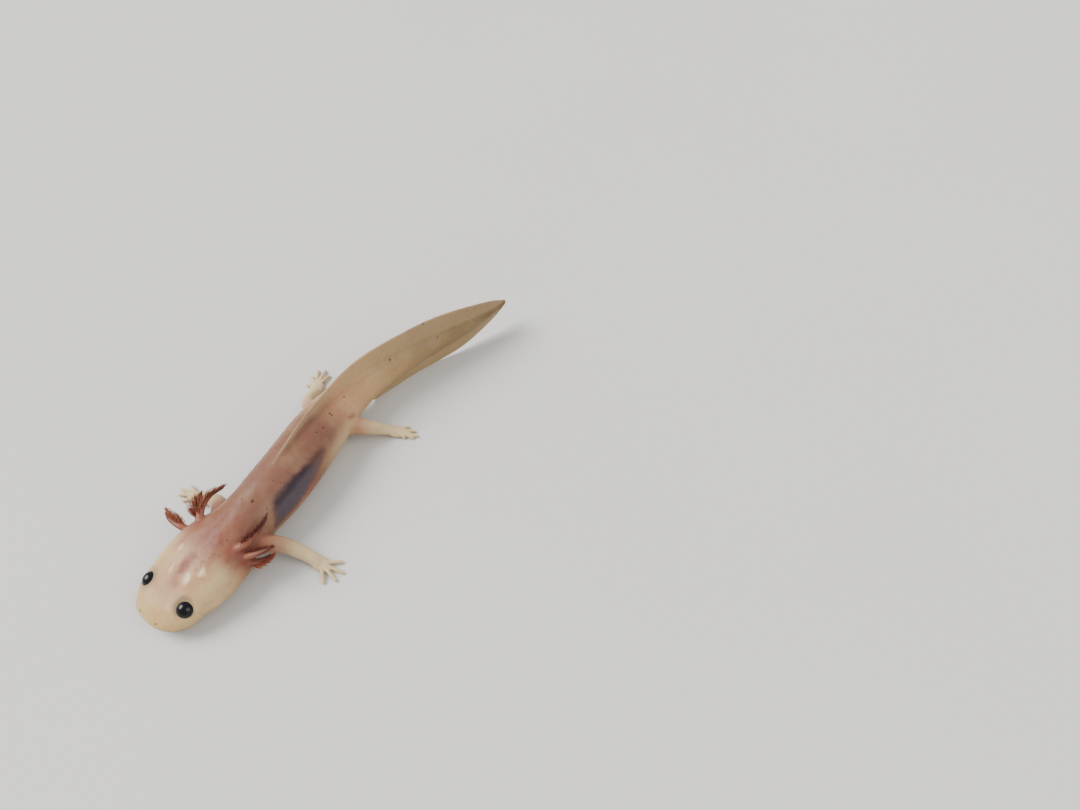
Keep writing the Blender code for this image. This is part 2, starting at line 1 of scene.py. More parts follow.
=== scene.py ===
"""The looks of a young pale axolotl, still, at rest on a plain pale floor.

One skin stands for all the flesh, from the lips to the finger tips and the tail fin. The eyes and the gill
filaments are pieces of their own. Places on the animal are given in millimetres as along the bent spine
from the snout, to the side (its left is positive) and height above the floor.
"""
import math
from types import SimpleNamespace

import bpy
import numpy as np
from mathutils import Matrix, Vector


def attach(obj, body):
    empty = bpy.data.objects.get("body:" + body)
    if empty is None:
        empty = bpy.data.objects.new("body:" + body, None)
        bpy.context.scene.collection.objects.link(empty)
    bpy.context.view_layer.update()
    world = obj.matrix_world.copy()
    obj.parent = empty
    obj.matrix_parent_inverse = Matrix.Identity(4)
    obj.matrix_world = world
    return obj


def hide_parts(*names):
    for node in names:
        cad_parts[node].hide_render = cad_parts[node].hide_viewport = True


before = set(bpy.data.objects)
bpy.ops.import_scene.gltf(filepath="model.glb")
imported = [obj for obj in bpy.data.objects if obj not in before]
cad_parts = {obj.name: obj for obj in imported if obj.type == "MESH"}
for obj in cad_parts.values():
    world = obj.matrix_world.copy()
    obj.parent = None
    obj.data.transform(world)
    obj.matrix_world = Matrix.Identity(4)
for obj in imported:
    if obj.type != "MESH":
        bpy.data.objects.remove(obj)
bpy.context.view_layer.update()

MM = 0.001

# The spine seen from above: its headings in degrees, 0 to the back and positive towards the right side
SNOUT_AT = (3.56, -47.18)
TOTAL_LENGTH = 96.0
SPINE_STEP = 0.1
SPINE_HEADINGS = (
    (0, 4.5), (17, 4.5), (23, 7.5), (30, 11.5), (40, 18.0),
    (50, 11.5), (58, -0.5), (68, -10), (80, -15), (96, -2),
)

# Place along the spine, half width, top and underside of the flesh
BODY = (
    (0.0, 6.7, 4.7, 1.0), (2.5, 6.8, 5.3, 0.9), (6.0, 7.3, 6.4, 0.7), (10.0, 7.95, 7.7, 0.5),
    (14.0, 7.95, 8.7, 0.3), (17.0, 7.3, 9.2, 0.2), (20.0, 5.9, 9.5, 0.1), (24.0, 5.3, 9.8, 0.0),
    (30.0, 5.55, 10.4, -0.15), (38.0, 5.6, 10.8, -0.2), (46.0, 5.3, 10.6, -0.15), (51.0, 4.6, 10.2, 0.1),
    (55.0, 3.6, 9.7, 0.9), (60.0, 2.85, 9.2, 1.7), (68.0, 2.15, 8.6, 2.6), (78.0, 1.5, 7.9, 3.7),
    (88.0, 0.85, 6.8, 4.9), (92.2, 0.45, 6.15, 5.5), (96.0, 0.4, 6.0, 5.6),
)
WIDEST = (
    (0, 2.6), (4, 2.75), (8.6, 3.5), (14, 4.1), (24, 4.9), (38, 5.2), (54, 5.5), (76, 5.85), (96, 5.8),
)
SECTION_POWER = ((0, 2.4), (14, 2.35), (24, 2.15), (96, 2.0))
SNOUT_ROUND = 6.0
SNOUT_POWER = 2.35
SNOUT_ROUND_Z = 3.4
RIDGE_HALF = 0.3

# Mouth, nostrils and eyes
MOUTH_CORNER = 8.8
MOUTH_FADE = 1.6
LIP_GROOVE = 0.4
LIP_GROOVE_HALF = 0.24
LIP_LINE = 0.2
LIP_LINE_HALF = 0.13
JAW_SET_BACK = 0.35
NOSTRIL_AT = (0.72, 2.2, 3.7)
NOSTRIL_HALF = 0.2
EYE_RADIUS = 1.7
EYE_AT = (5.4, 4.85, 4.4)
EYE_FACES = (0.36, 0.0, 0.93)
EYE_CAP = 1.43

# Fins: where they start, and the heights of their free edges
DORSAL_START = 33.0
DORSAL_EDGE = (
    (33, 11.3), (40, 11.9), (50, 12.4), (60, 12.8), (68, 12.9),
    (78, 12.2), (86, 10.7), (92, 8.6), (96, 6.3),
)
VENTRAL_START = 57.0
VENTRAL_EDGE = (
    (57, 0.4), (60, 0.1), (63, 0.0), (74, 0.0), (80, 0.5), (86, 1.6), (92, 3.5), (96, 5.3),
)
FIN_ROOT_HALF = 0.52
FIN_EDGE_HALF = 0.24

# Limbs from root to palm: along, side, height, half width and half height, then the tips of the digits
LIMBS = {
    "foreleg_left": (
        ((20.4, 2.5, 4.9, 1.9, 1.9), (21.4, 5.6, 4.4, 1.75, 1.75), (23.2, 8.3, 3.3, 1.5, 1.45),
         (24.1, 11.2, 2.2, 1.35, 1.25), (24.5, 14.0, 1.2, 1.2, 1.0), (24.6, 15.6, 0.6, 1.4, 0.7),
         (24.5, 16.9, 0.5, 1.1, 0.6)),
        ((22.2, 18.4), (23.6, 20.1), (25.2, 20.2), (26.7, 18.6)),
    ),
    "foreleg_right": (
        ((20.4, -2.5, 4.9, 1.9, 1.9), (21.4, -5.6, 4.4, 1.75, 1.75), (23.2, -8.2, 3.3, 1.5, 1.45),
         (23.8, -11.1, 2.2, 1.35, 1.25), (23.4, -13.9, 1.2, 1.2, 1.0), (23.0, -15.5, 0.6, 1.4, 0.7),
         (22.5, -16.8, 0.5, 1.1, 0.6)),
        ((20.2, -17.9), (21.0, -19.8), (22.6, -20.4), (24.4, -19.2)),
    ),
    "hindleg_left": (
        ((48.6, 1.8, 5.0, 2.1, 2.1), (50.2, 4.9, 4.4, 1.9, 1.9), (52.3, 7.2, 3.2, 1.45, 1.45),
         (54.2, 8.6, 2.0, 1.2, 1.2), (55.6, 9.5, 1.2, 1.15, 0.95), (56.8, 10.6, 0.6, 1.5, 0.7),
         (57.8, 11.6, 0.5, 1.3, 0.6)),
        ((56.6, 13.2), (58.3, 14.6), (59.7, 14.9), (60.5, 13.6), (60.3, 11.6)),
    ),
    "hindleg_right": (
        ((48.6, -1.8, 5.0, 2.1, 2.1), (49.9, -4.9, 4.4, 1.9, 1.9), (50.7, -7.8, 3.2, 1.45, 1.45),
         (52.2, -9.9, 2.0, 1.2, 1.2), (53.9, -11.0, 1.2, 1.15, 0.95), (55.1, -12.0, 0.6, 1.5, 0.7),
         (56.1, -12.9, 0.5, 1.3, 0.6)),
        ((54.8, -14.8), (56.5, -16.0), (58.0, -16.1), (58.8, -14.8), (58.5, -12.8)),
    ),
}
DIGIT_HALVES = ((0.0, 0.42), (0.35, 0.37), (0.7, 0.33), (1.0, 0.29))
DIGIT_ARCH = 0.25

# Gills: the stalk from root to tip, the way its filaments fan out, the longest filament, and how far the
# filaments are translucent orange rather than dark red
GILLS = {
    "gill_left_1": (
        ((17.0, 4.8, 7.6), (19.4, 6.3, 8.5), (21.8, 6.7, 9.2), (24.2, 6.2, 9.6)),
        (0.2, -0.9, 0.7), 1.8, 0.0,
    ),
    "gill_left_2": (
        ((17.2, 5.9, 6.1), (18.5, 7.9, 6.9), (19.7, 9.3, 7.5), (20.8, 10.3, 7.9)),
        (0.9, 0.2, 0.1), 1.7, 0.1,
    ),
    "gill_left_3": (
        ((17.2, 6.2, 4.6), (18.4, 8.0, 4.9), (19.6, 9.0, 5.1), (20.7, 9.4, 5.2)),
        (-0.3, 0.5, -0.8), 1.8, 1.0,
    ),
    "gill_right_1": (
        ((17.0, -4.6, 7.6), (19.2, -6.0, 8.7), (22.0, -6.7, 9.0), (25.2, -6.4, 8.4)),
        (0.1, -0.4, 1.0), 1.8, 0.4,
    ),
    "gill_right_2": (
        ((17.3, -5.6, 6.3), (18.8, -7.4, 7.1), (20.3, -8.8, 7.3), (22.0, -9.8, 7.0)),
        (0.0, -1.0, 0.3), 2.5, 0.6,
    ),
    "gill_right_3": (
        ((15.8, -6.8, 4.9), (15.0, -9.6, 5.4), (14.9, -12.1, 5.5), (15.5, -14.3, 5.1)),
        (1.0, 0.1, 0.2), 3.0, 0.7,
    ),
}
STALK_ROOT_HALF = 0.85
STALK_TIP_HALF = 0.26
STALK_FLATNESS = 0.75

# Filaments: how many in each of a gill's two rows, their mesh, their half width, and in degrees how far
# the rows spread apart, how far a filament leans ahead at its root, how much more near the stalk's tip,
# and how far it bends
FILAMENTS_IN_ROW = 64
FILAMENT_RINGS = 7
FILAMENT_SIDES = 6
FILAMENT_HALF = 0.08
FILAMENT_SPREAD = 34
FILAMENT_LEAN = 22
FILAMENT_TIP_LEAN = 26
FILAMENT_BEND = 26

# How far the skin's small forms stand out or in
RIB_GROOVE = 0.045
MUSCLE_BAND = 0.02
HEAD_FURROW = 0.09
JAW_MUSCLE = 0.2
BROW_HOLLOW = 0.12
LIP_SWELL = 0.07
LIP_SWELL_AT = 0.42
LIP_SWELL_HALF = 0.24
THROAT_FOLD = 0.3
EYE_RIM = 0.1
EYE_GROOVE = 0.13
NOSTRIL_RIM = 0.03
NOSTRIL_PIT = 0.26
UNEVENNESS = 0.014
FINE_UNEVENNESS = 0.008
FIN_SWAY = 0.16
FIN_SWAY_LENGTH = 3.1

# The grids of the flesh: rings round the snout, the step along the body, and points up one side, which
# crowd towards the widest level, where the mouth is
SNOUT_RINGS = 44
FLESH_STEP = 0.25
SIDE_POINTS = 91
CROWDING = 1.6

# How fine the skin is, and how far its forms run into one another
VOXEL = 0.12
MOST_TRIANGLES = 200000
SKIN_SHARE = 0.9
ROOT_ROUNDS = 70

# The camera
CAMERA_AT = (100.19, -43.94, 128.0)
CAMERA_AHEAD = (-0.4583, 0.4555, -0.7632)
CAMERA_RIGHT = (0.7554, 0.6520, -0.0645)
CAMERA_LENS = 27.03
CAMERA_SENSOR = 36.0

# The stage: the floor, each light's place, width seen from the floor in degrees and power, and the
# surrounding light
FLOOR_RADIUS = 4.0
FLOOR_SIDES = 128
FLOOR_TONES = ((0.62, 0.6, 0.56, 1), (0.66, 0.64, 0.6, 1))
LIGHTS = (("key", (-0.30, -0.16, 0.34), 39, 4.6), ("fill", (0.36, 0.12, 0.30), 44, 1.35))
SURROUND = (0.92, 0.95, 1.0, 1)
SURROUND_STRENGTH = 0.74


def smooth(table, at):
    """Reads a table of (place, value) on a cubic Hermite curve whose slopes are its central differences."""
    rows, value = np.array(table, float).T
    slope = np.gradient(value, rows)
    at = np.clip(at, rows[0], rows[-1])
    row = np.clip(np.searchsorted(rows, at, side="right") - 1, 0, len(rows) - 2)
    span = rows[row + 1] - rows[row]
    t = (at - rows[row]) / span
    rise = 3 * t**2 - 2 * t**3
    return (
        value[row] * (1 - rise)
        + value[row + 1] * rise
        + span * (t - 2 * t**2 + t**3) * slope[row]
        + span * (t**3 - t**2) * slope[row + 1]
    )


def ease(value, low, high):
    """0 up to low and 1 from high on, by 3t^2 - 2t^3 between them."""
    t = np.clip((value - low) / (high - low), 0, 1)
    return t * t * (3 - 2 * t)


def hill(value, centre, half):
    """A bell curve: e to the power of minus the square of the distance from its centre in half widths."""
    return np.exp(-(((value - centre) / half) ** 2))


def spine_line():
    """Places along the spine, its headings, and its X and Y: the running sum of steps along the heading."""
    places = np.arange(0, TOTAL_LENGTH + SPINE_STEP, SPINE_STEP)
    heading = np.radians(smooth(SPINE_HEADINGS, places))
    x = SNOUT_AT[0] + np.concatenate([[0], np.cumsum(-np.sin(heading[:-1]) * SPINE_STEP)])
    y = SNOUT_AT[1] + np.concatenate([[0], np.cumsum(np.cos(heading[:-1]) * SPINE_STEP)])
    return places, heading, x, y


SPINE, HEADING, SPINE_X, SPINE_Y = spine_line()


def place(along, side, height):
    """Points in mm: on the spine at this place, then sideways, square to the heading."""
    heading = np.interp(along, SPINE, HEADING)
    x = np.interp(along, SPINE, SPINE_X) + side * np.cos(heading)
    y = np.interp(along, SPINE, SPINE_Y) + side * np.sin(heading)
    return np.stack(np.broadcast_arrays(x, y, height), axis=-1)


def place_rows(rows):
    """Points of rows that start with along, side and height."""
    return place(*np.array([row[:3] for row in rows], float).T)


def places_of(points):
    """The inverse of place: along and side from the nearest of the spine's points, and height."""
    every = 8
    coarse = np.stack([SPINE_X, SPINE_Y], 1)[::every].astype(np.float32)
    flat = points[:, :2].astype(np.float32)
    nearest = ((flat[:, None] - coarse) ** 2).sum(2).argmin(1) * every
    x, y = points[:, 0] - SPINE_X[nearest], points[:, 1] - SPINE_Y[nearest]
    sine, cosine = np.sin(HEADING[nearest]), np.cos(HEADING[nearest])
    return SPINE[nearest] - x * sine + y * cosine, x * cosine + y * sine, points[:, 2]


def flesh_sizes(along):
    """Half width, widest level, top, underside and section power of the flesh at these places."""
    width, top, under = (smooth([(row[0], row[i]) for row in BODY], along) for i in (1, 2, 3))
    widest = smooth(WIDEST, along)
    blunt = (1 - (1 - np.clip(along / SNOUT_ROUND, 0, 1)) ** SNOUT_POWER) ** (1 / SNOUT_POWER)
    blunt_z = np.sqrt(1 - (1 - np.clip(along / SNOUT_ROUND_Z, 0, 1)) ** 2)
    top = widest + (top - widest) * blunt_z
    under = widest - (widest - under) * blunt_z
    return width * blunt, widest, top, under, smooth(SECTION_POWER, along)


def both_sides(along, side, height):
    """Closed rings from one side's grid: up the left side, then down the mirrored right side."""
    left = place(along, side, height)
    right = place(along, -side, height)[:, ::-1]
    return np.concatenate([left, right], axis=1)


def flesh():
    """Head, trunk and the tail's core as one grid over (along, turn).

    A cross-section is a superellipse about its widest level: the side is width * cos(turn)^(2/p) and the
    height widest + reach * sin(turn)^(2/p). Round the snout the mouth is pushed in, square to the
    outline seen from above, as a bell curve about the widest level, with the lower jaw set back under it.
    """
    snout = SNOUT_ROUND * (1 - np.cos(np.linspace(0.03, math.pi / 2, SNOUT_RINGS)))
    along = np.concatenate([snout, np.arange(SNOUT_ROUND + FLESH_STEP, TOTAL_LENGTH - 0.4, FLESH_STEP)])
    along = along[:, None]
    share = np.linspace(-1, 1, SIDE_POINTS)
    turn = (np.sign(share) * np.abs(share) ** CROWDING * math.pi / 2)[None]
    width, widest, top, under, power = flesh_sizes(along)
    sine, cosine = np.sin(turn), np.maximum(np.cos(turn), 0)
    reach = np.where(sine > 0, top - widest, widest - under)
    height = widest + np.sign(sine) * reach * np.abs(sine) ** (2 / power)
    side = np.hypot(width * cosine ** (2 / power), RIDGE_HALF * np.clip(width / 2, 0, 1))

    rise = height - widest
    jaw = np.where(rise < 0, 0.45 + 0.55 * (1 + rise / (widest - under)), 0) * ease(-rise, -0.05, 0.1)
    lip = hill(rise, 0.0, LIP_GROOVE_HALF)
    is_open = np.clip((MOUTH_CORNER - along) / MOUTH_FADE, 0, 1)
    push = (JAW_SET_BACK * jaw + LIP_GROOVE * lip) * is_open
    inward = np.clip(along / SNOUT_ROUND, 0, 1)
    backward = np.sqrt(1 - inward**2)
    side = side - np.minimum(push * inward, side * 0.3)
    return both_sides(along + push * backward, side, np.maximum(height, 0))


def fin(start, edge_table, upward):
    """A fin as a grid over (along, share of its height): from inside the flesh to its free edge.

    Its half thickness runs straight from root to edge and closes over the last twentieth as a circle
    does. The blade sways from side to side a little, as a sine that grows with the square of the share.
    """
    along = np.arange(start - 1.5, TOTAL_LENGTH + 0.001, FLESH_STEP)[:, None]
    share = np.concatenate([np.linspace(0, 0.93, 15), 0.93 + 0.07 * np.sin(np.linspace(0.3, 1.5, 5))])[None]
    _, widest, top, under, _ = flesh_sizes(np.minimum(along, TOTAL_LENGTH - 2))
    root = widest + (top - widest) * 0.55 if upward else widest - (widest - under) * 0.55
    surface = top if upward else under
    grown = ease(along, start - 1.5, start + 4)
    edge = surface + (smooth(edge_table, along) - surface) * grown
    edge = np.maximum(edge, root + 0.1) if upward else np.clip(edge, 0.0, root - 0.1)
    height = root + (edge - root) * share
    past_flesh = np.clip((height - surface) / (edge - surface + 1e-6), 0, 1)
    half = FIN_ROOT_HALF + (FIN_EDGE_HALF - FIN_ROOT_HALF) * past_flesh**0.7
    half = half * np.sqrt(np.clip(1 - (np.clip(share - 0.95, 0, 1) / 0.0505) ** 2, 0.02, 1))
    wave = np.sin(along / FIN_SWAY_LENGTH + height * 0.35)
    sway = FIN_SWAY * wave * past_flesh**2 * ease(along, start, start + 12)
    half, sway, height = np.broadcast_arrays(half, sway, height)
    if not upward:
        half, sway, height = half[:, ::-1], sway[:, ::-1], height[:, ::-1]
    left = place(along, sway + half, height)
    right = place(along, sway - half, height)[:, ::-1]
    return np.concatenate([left, right], axis=1)


def lengths_along(points):
    """How far each point lies along the line through all of them."""
    steps = np.linalg.norm(np.diff(points[:, :3], axis=0), axis=1)
    return np.concatenate([[0], np.cumsum(steps)])


def curve_through(rows, step):
    """Rows about a step apart on a smooth curve through these rows, by their distance apart."""
    rows = np.array(rows, float)
    at = lengths_along(rows)
    places = np.linspace(0, at[-1], max(3, round(at[-1] / step) + 1))
    return np.stack([smooth(np.stack([at, column], 1), places) for column in rows.T], 1)


def tube(line, wide, tall, sides=24, end_length=0.0):
    """A profile carried along a line: centre + wide * cos t * across + tall * sin t * upright.

    Across is level and square to the line. With an end length the last stretch closes as a circle does.
    """
    ahead = np.gradient(line, axis=0)
    ahead /= np.linalg.norm(ahead, axis=1, keepdims=True)
    across = np.cross(ahead, (0.0, 0.0, 1.0))
    across /= np.linalg.norm(across, axis=1, keepdims=True)
    upright = np.cross(across, ahead)
    if end_length:
        left = np.linalg.norm(line - line[-1], axis=1)
        close = np.sqrt(np.clip(1 - np.clip(1 - left / end_length, 0, 0.999) ** 2, 0, 1))
        wide, tall = wide * close, tall * close
    turn = np.linspace(0, 2 * math.pi, sides, endpoint=False)
    flat = wide[:, None, None] * across[:, None] * np.cos(turn)[None, :, None]
    high = tall[:, None, None] * upright[:, None] * np.sin(turn)[None, :, None]
    return line[:, None] + flat + high


def limb_rows(rows):
    """A limb's centre line with its half width and half height, dense enough for the skin."""
    table = np.hstack([place_rows(rows), np.array(rows, float)[:, 3:]])
    return curve_through(table, 0.15)


def limb(rows, tips):
    """A leg with its palm, and its digits, each a tube from inside the palm to a rounded tip."""
    dense = limb_rows(rows)
    grids = [tube(dense[:, :3], dense[:, 3], dense[:, 4], 32, end_length=0.6)]
    root = dense[-10, :3]
    for along, side in tips:
        tip = place(along, side, DIGIT_HALVES[-1][1])
        share = np.linspace(0, 1, 40)[:, None]
        arch = np.sin(share * math.pi) * np.array([[0, 0, DIGIT_ARCH]])
        half = smooth(DIGIT_HALVES, share[:, 0])
        grids.append(tube(root + (tip - root) * share + arch, half, half, 16, end_length=0.3))
    return grids


def stalk(rows):
    """A gill's stalk, a flattened tube that narrows from root to tip."""
    line = curve_through(place_rows(rows), 0.12)
    half = np.linspace(STALK_ROOT_HALF, STALK_TIP_HALF, len(line))
    return tube(line, half, half * STALK_FLATNESS, 20, end_length=0.3)


def quads_of(rings, sides):
    """Four corners of each face of a grid that closes round, with a ladder of rungs across both ends."""
    ring, turn = np.meshgrid(np.arange(rings - 1), np.arange(sides), indexing="ij")
    here, ahead, after = ring * sides, (ring + 1) * sides, (turn + 1) % sides
    walls = np.stack([here + turn, ahead + turn, ahead + after, here + after], -1).reshape(-1, 4)
    rung = np.arange(sides // 2 - 1)
    ladder = np.stack([rung, rung + 1, sides - 2 - rung, sides - 1 - rung], -1)
    return np.concatenate([walls, ladder, (rings - 1) * sides + ladder[:, ::-1]])


def mesh_of(name, points, faces):
    """A mesh from arrays of points and of faces that all have the same number of corners."""
    mesh = bpy.data.meshes.new(name)
    mesh.vertices.add(len(points))
    mesh.vertices.foreach_set("co", np.ascontiguousarray(points, np.float32).ravel())
    mesh.loops.add(faces.size)
    mesh.loops.foreach_set("vertex_index", np.ascontiguousarray(faces, np.int32).ravel())
    mesh.polygons.add(len(faces))
    mesh.polygons.foreach_set("loop_start", np.arange(0, faces.size, faces.shape[1], dtype=np.int32))
    mesh.update(calc_edges=True)
    mesh.shade_smooth()
    return mesh


def joined(grids):
    """The points and faces of several grids of rings as one pair of arrays."""
    points, faces, count = [], [], 0
    for grid in grids:
        points.append(grid.reshape(-1, 3))
        faces.append(quads_of(*grid.shape[:2]) + count)
        count += len(points[-1])
    return np.concatenate(points), np.concatenate(faces)


def shown(name, mesh):
    """A new object with this mesh, lamp or camera, in the scene."""
    made = bpy.data.objects.new(name, mesh)
    bpy.context.scene.collection.objects.link(made)
    return made


def finished(made, kind, **settings):
    """The object's mesh after one modifier, which is applied."""
    modifier = made.modifiers.new(kind.lower(), kind)
    for name, value in settings.items():
        setattr(modifier, name, value)
    graph = bpy.context.evaluated_depsgraph_get()
    mesh = bpy.data.meshes.new_from_object(made.evaluated_get(graph), depsgraph=graph)
    made.modifiers.clear()
    before, made.data = made.data, mesh
    bpy.data.meshes.remove(before)
    return mesh


def read(collection, name, width, kind=np.float64):
    """One property of all of a mesh's elements as an array, one row each."""
    values = np.empty(len(collection) * width, kind)
    collection.foreach_get(name, values)
    return values.reshape(-1, width) if width > 1 else values


def relax(points, edges, strength, rounds, keep_size=False):
    """Each round moves a point by its strength towards the mean of its neighbours.

    To keep the form's size, every second move is a little longer and goes the other way.
    """
    first, second = edges.T
    count = np.bincount(edges.ravel(), minlength=len(points))[:, None]
    for _ in range(rounds):
        for push in (strength, strength * -1.03) if keep_size else (strength,):
            columns = [
                np.bincount(first, points[second, axis], len(points))
                + np.bincount(second, points[first, axis], len(points))
                for axis in range(3)
            ]
            points = points + push * (np.stack(columns, 1) / count - points)
    return points


def nearest_on(points, line):
    """Distance from points to the nearest point of a line, and how far along it that lies, from 0 to 1."""
    gaps = ((points[:, None].astype(np.float32) - line[None].astype(np.float32)) ** 2).sum(2)
    nearest = gaps.argmin(1)
    return np.sqrt(gaps[np.arange(len(points)), nearest]), nearest / (len(line) - 1)


def outside_flesh(along, side, height):
    """Roughly how far places lie outside the flesh, in mm: the superellipse's radius less one, scaled."""
    width, widest, top, under, power = flesh_sizes(np.clip(along, 0.05, TOTAL_LENGTH - 2))
    reach = np.where(height > widest, top - widest, widest - under)
    x, z = np.abs(side) / width, np.abs(height - widest) / reach
    radius = (x**power + z**power) ** (1 / power)
    return (radius - 1) * np.hypot(side, height - widest) / np.maximum(radius, 0.2)


def kinds_of(points, along, side, height):
    """For each point: how much it is leg, gill and fin, and how far it lies along its limb or stalk."""
    outside = outside_flesh(along, side, height)
    reach = np.zeros(len(points))
    near_leg, near_gill = (np.full(len(points), 99.0) for _ in range(2))
    for rows, _ in LIMBS.values():
        gap, share = nearest_on(points, limb_rows(rows)[::4, :3])
        closer = gap < near_leg
        near_leg, reach = np.where(closer, gap, near_leg), np.where(closer, share, reach)
    for rows, *_ in GILLS.values():
        gap, share = nearest_on(points, curve_through(place_rows(rows), 0.4))
        closer = (gap < near_gill) & (gap < near_leg)
        near_gill, reach = np.where(closer, gap, near_gill), np.where(closer, share, reach)
    gill = ease(1.6 - near_gill, 0.1, 0.7) * ease(outside, -0.1, 0.5) * (near_gill < near_leg)
    leg = ease(outside, 0.1, 1.6) * ease(5.5 - near_leg, 0, 1) * (near_gill > 1.1)
    flat = ease(1.1 - np.abs(side), 0, 0.3)
    fin_part = flat * ease(outside, 0.0, 0.8) * (along > DORSAL_START - 2)
    return leg * (1 - fin_part), gill, fin_part, reach


def root_weight(points, along, side, height):
    """Where forms grow out of one another, so that the skin runs from one to the next without an edge."""
    weight = np.zeros(len(points))
    for name, (rows, _) in LIMBS.items():
        shoulder = place(*rows[1][:3])
        reach = 2.6 if name.startswith("fore") else 2.9
        weight = np.maximum(weight, hill(np.linalg.norm(points - shoulder, axis=1), 0, reach))
    for rows, *_ in GILLS.values():
        foot = place(*(np.array(rows[0]) * 0.75 + np.array(rows[1]) * 0.25))
        weight = np.maximum(weight, 0.7 * hill(np.linalg.norm(points - foot, axis=1), 0, 1.1))
    _, _, top, under, _ = flesh_sizes(np.clip(along, 0.05, TOTAL_LENGTH - 2))
    off_root = np.minimum(np.abs(height - top), np.abs(height - under))
    on_ridge = hill(off_root, 0, 1.0) * (np.abs(side) < 2.2) * (along > DORSAL_START - 2)
    return np.maximum(weight, 0.8 * on_ridge)


def mirrored(at, left):
    """A place on the left side, or with left at -1 its mirror image on the right."""
    return at[0], at[1] * left, at[2]


def eye_cap_centre(left):
    """Where an eye's axis comes through the skin."""
    depth = math.sqrt(EYE_RADIUS**2 - EYE_CAP**2)
    along, side, height = (at + depth * way for at, way in zip(EYE_AT, (0.0, EYE_FACES[0], EYE_FACES[2])))
    return place(along, side * left, height)


def relief(points, along, side, height):
    """How far the skin stands out or in, in mm, as a sum of bell curves and waves over the body."""
    width, widest, *_ = flesh_sizes(np.clip(along, 0.05, TOTAL_LENGTH - 2))
    upper = ease(height, widest + 0.5, widest + 2.0)
    flank = ease(np.abs(side) / width, 0.35, 0.75)
    trunk = ease(along, 24.5, 27) * ease(50.5 - along, 0, 2.5)
    slant = along + 0.22 * np.abs(height - widest)
    out = -RIB_GROOVE * trunk * flank * np.clip(np.cos(math.pi * (slant - 26)), 0, 1) ** 3
    on_core = ease(0.1 - outside_flesh(along, side, height), 0, 0.1)
    tail = ease(along, 53, 57) * ease(93 - along, 0, 5) * on_core
    swept = along - 0.75 * np.abs(height - widest)
    out += -MUSCLE_BAND * tail * np.clip(np.cos(3.3 * swept), 0, 1) ** 3
    out += -HEAD_FURROW * upper * hill(side, 0, 0.9) * ease(along, 9, 13) * ease(24 - along, 0, 4)
    out += JAW_MUSCLE * upper * hill(along, 13.6, 2.8) * hill(np.abs(side), 3.4, 1.8)
    out += -BROW_HOLLOW * upper * hill(along, 4.2, 2.2) * hill(side, 0, 2.2)
    lips = np.clip((MOUTH_CORNER - along) / MOUTH_FADE, 0, 1)
    out += -LIP_LINE * lips * hill(height, widest, LIP_LINE_HALF)
    upper_lip = hill(height, widest + LIP_SWELL_AT, LIP_SWELL_HALF)
    lower_lip = hill(height, widest - LIP_SWELL_AT, LIP_SWELL_HALF)
    out += LIP_SWELL * lips * (upper_lip + lower_lip)
    lower = ease(widest - height, 0.8, 2.0)
    out += -THROAT_FOLD * lower * hill(along, 17.2 + 0.05 * side**2, 0.4) * ease(8 - np.abs(side), 0, 1)
    for left in (1, -1):
        off_eye = np.linalg.norm(points - eye_cap_centre(left), axis=1)
        out += EYE_RIM * hill(off_eye, EYE_CAP + 0.6, 0.7) - EYE_GROOVE * hill(off_eye, EYE_CAP - 0.1, 0.45)
        off_nostril = np.linalg.norm(points - place(*mirrored(NOSTRIL_AT, left)), axis=1)
        out += NOSTRIL_RIM * hill(off_nostril, 0.42, 0.22) - NOSTRIL_PIT * hill(off_nostril, 0, NOSTRIL_HALF)
    x, y, z = points.T
    out += UNEVENNESS * np.sin(1.9 * x + 0.7 * z) * np.sin(1.6 * y + 0.4)
    out += FINE_UNEVENNESS * np.sin(3.7 * y + 2.2 * z) * np.sin(3.1 * x)
    return out


def attribute(mesh, name, columns):
    """A three-part value at each point, for the material to read."""
    made = mesh.attributes.new(name, "FLOAT_VECTOR", "POINT")
    made.data.foreach_set("vector", np.stack(columns, 1).astype(np.float32).ravel())


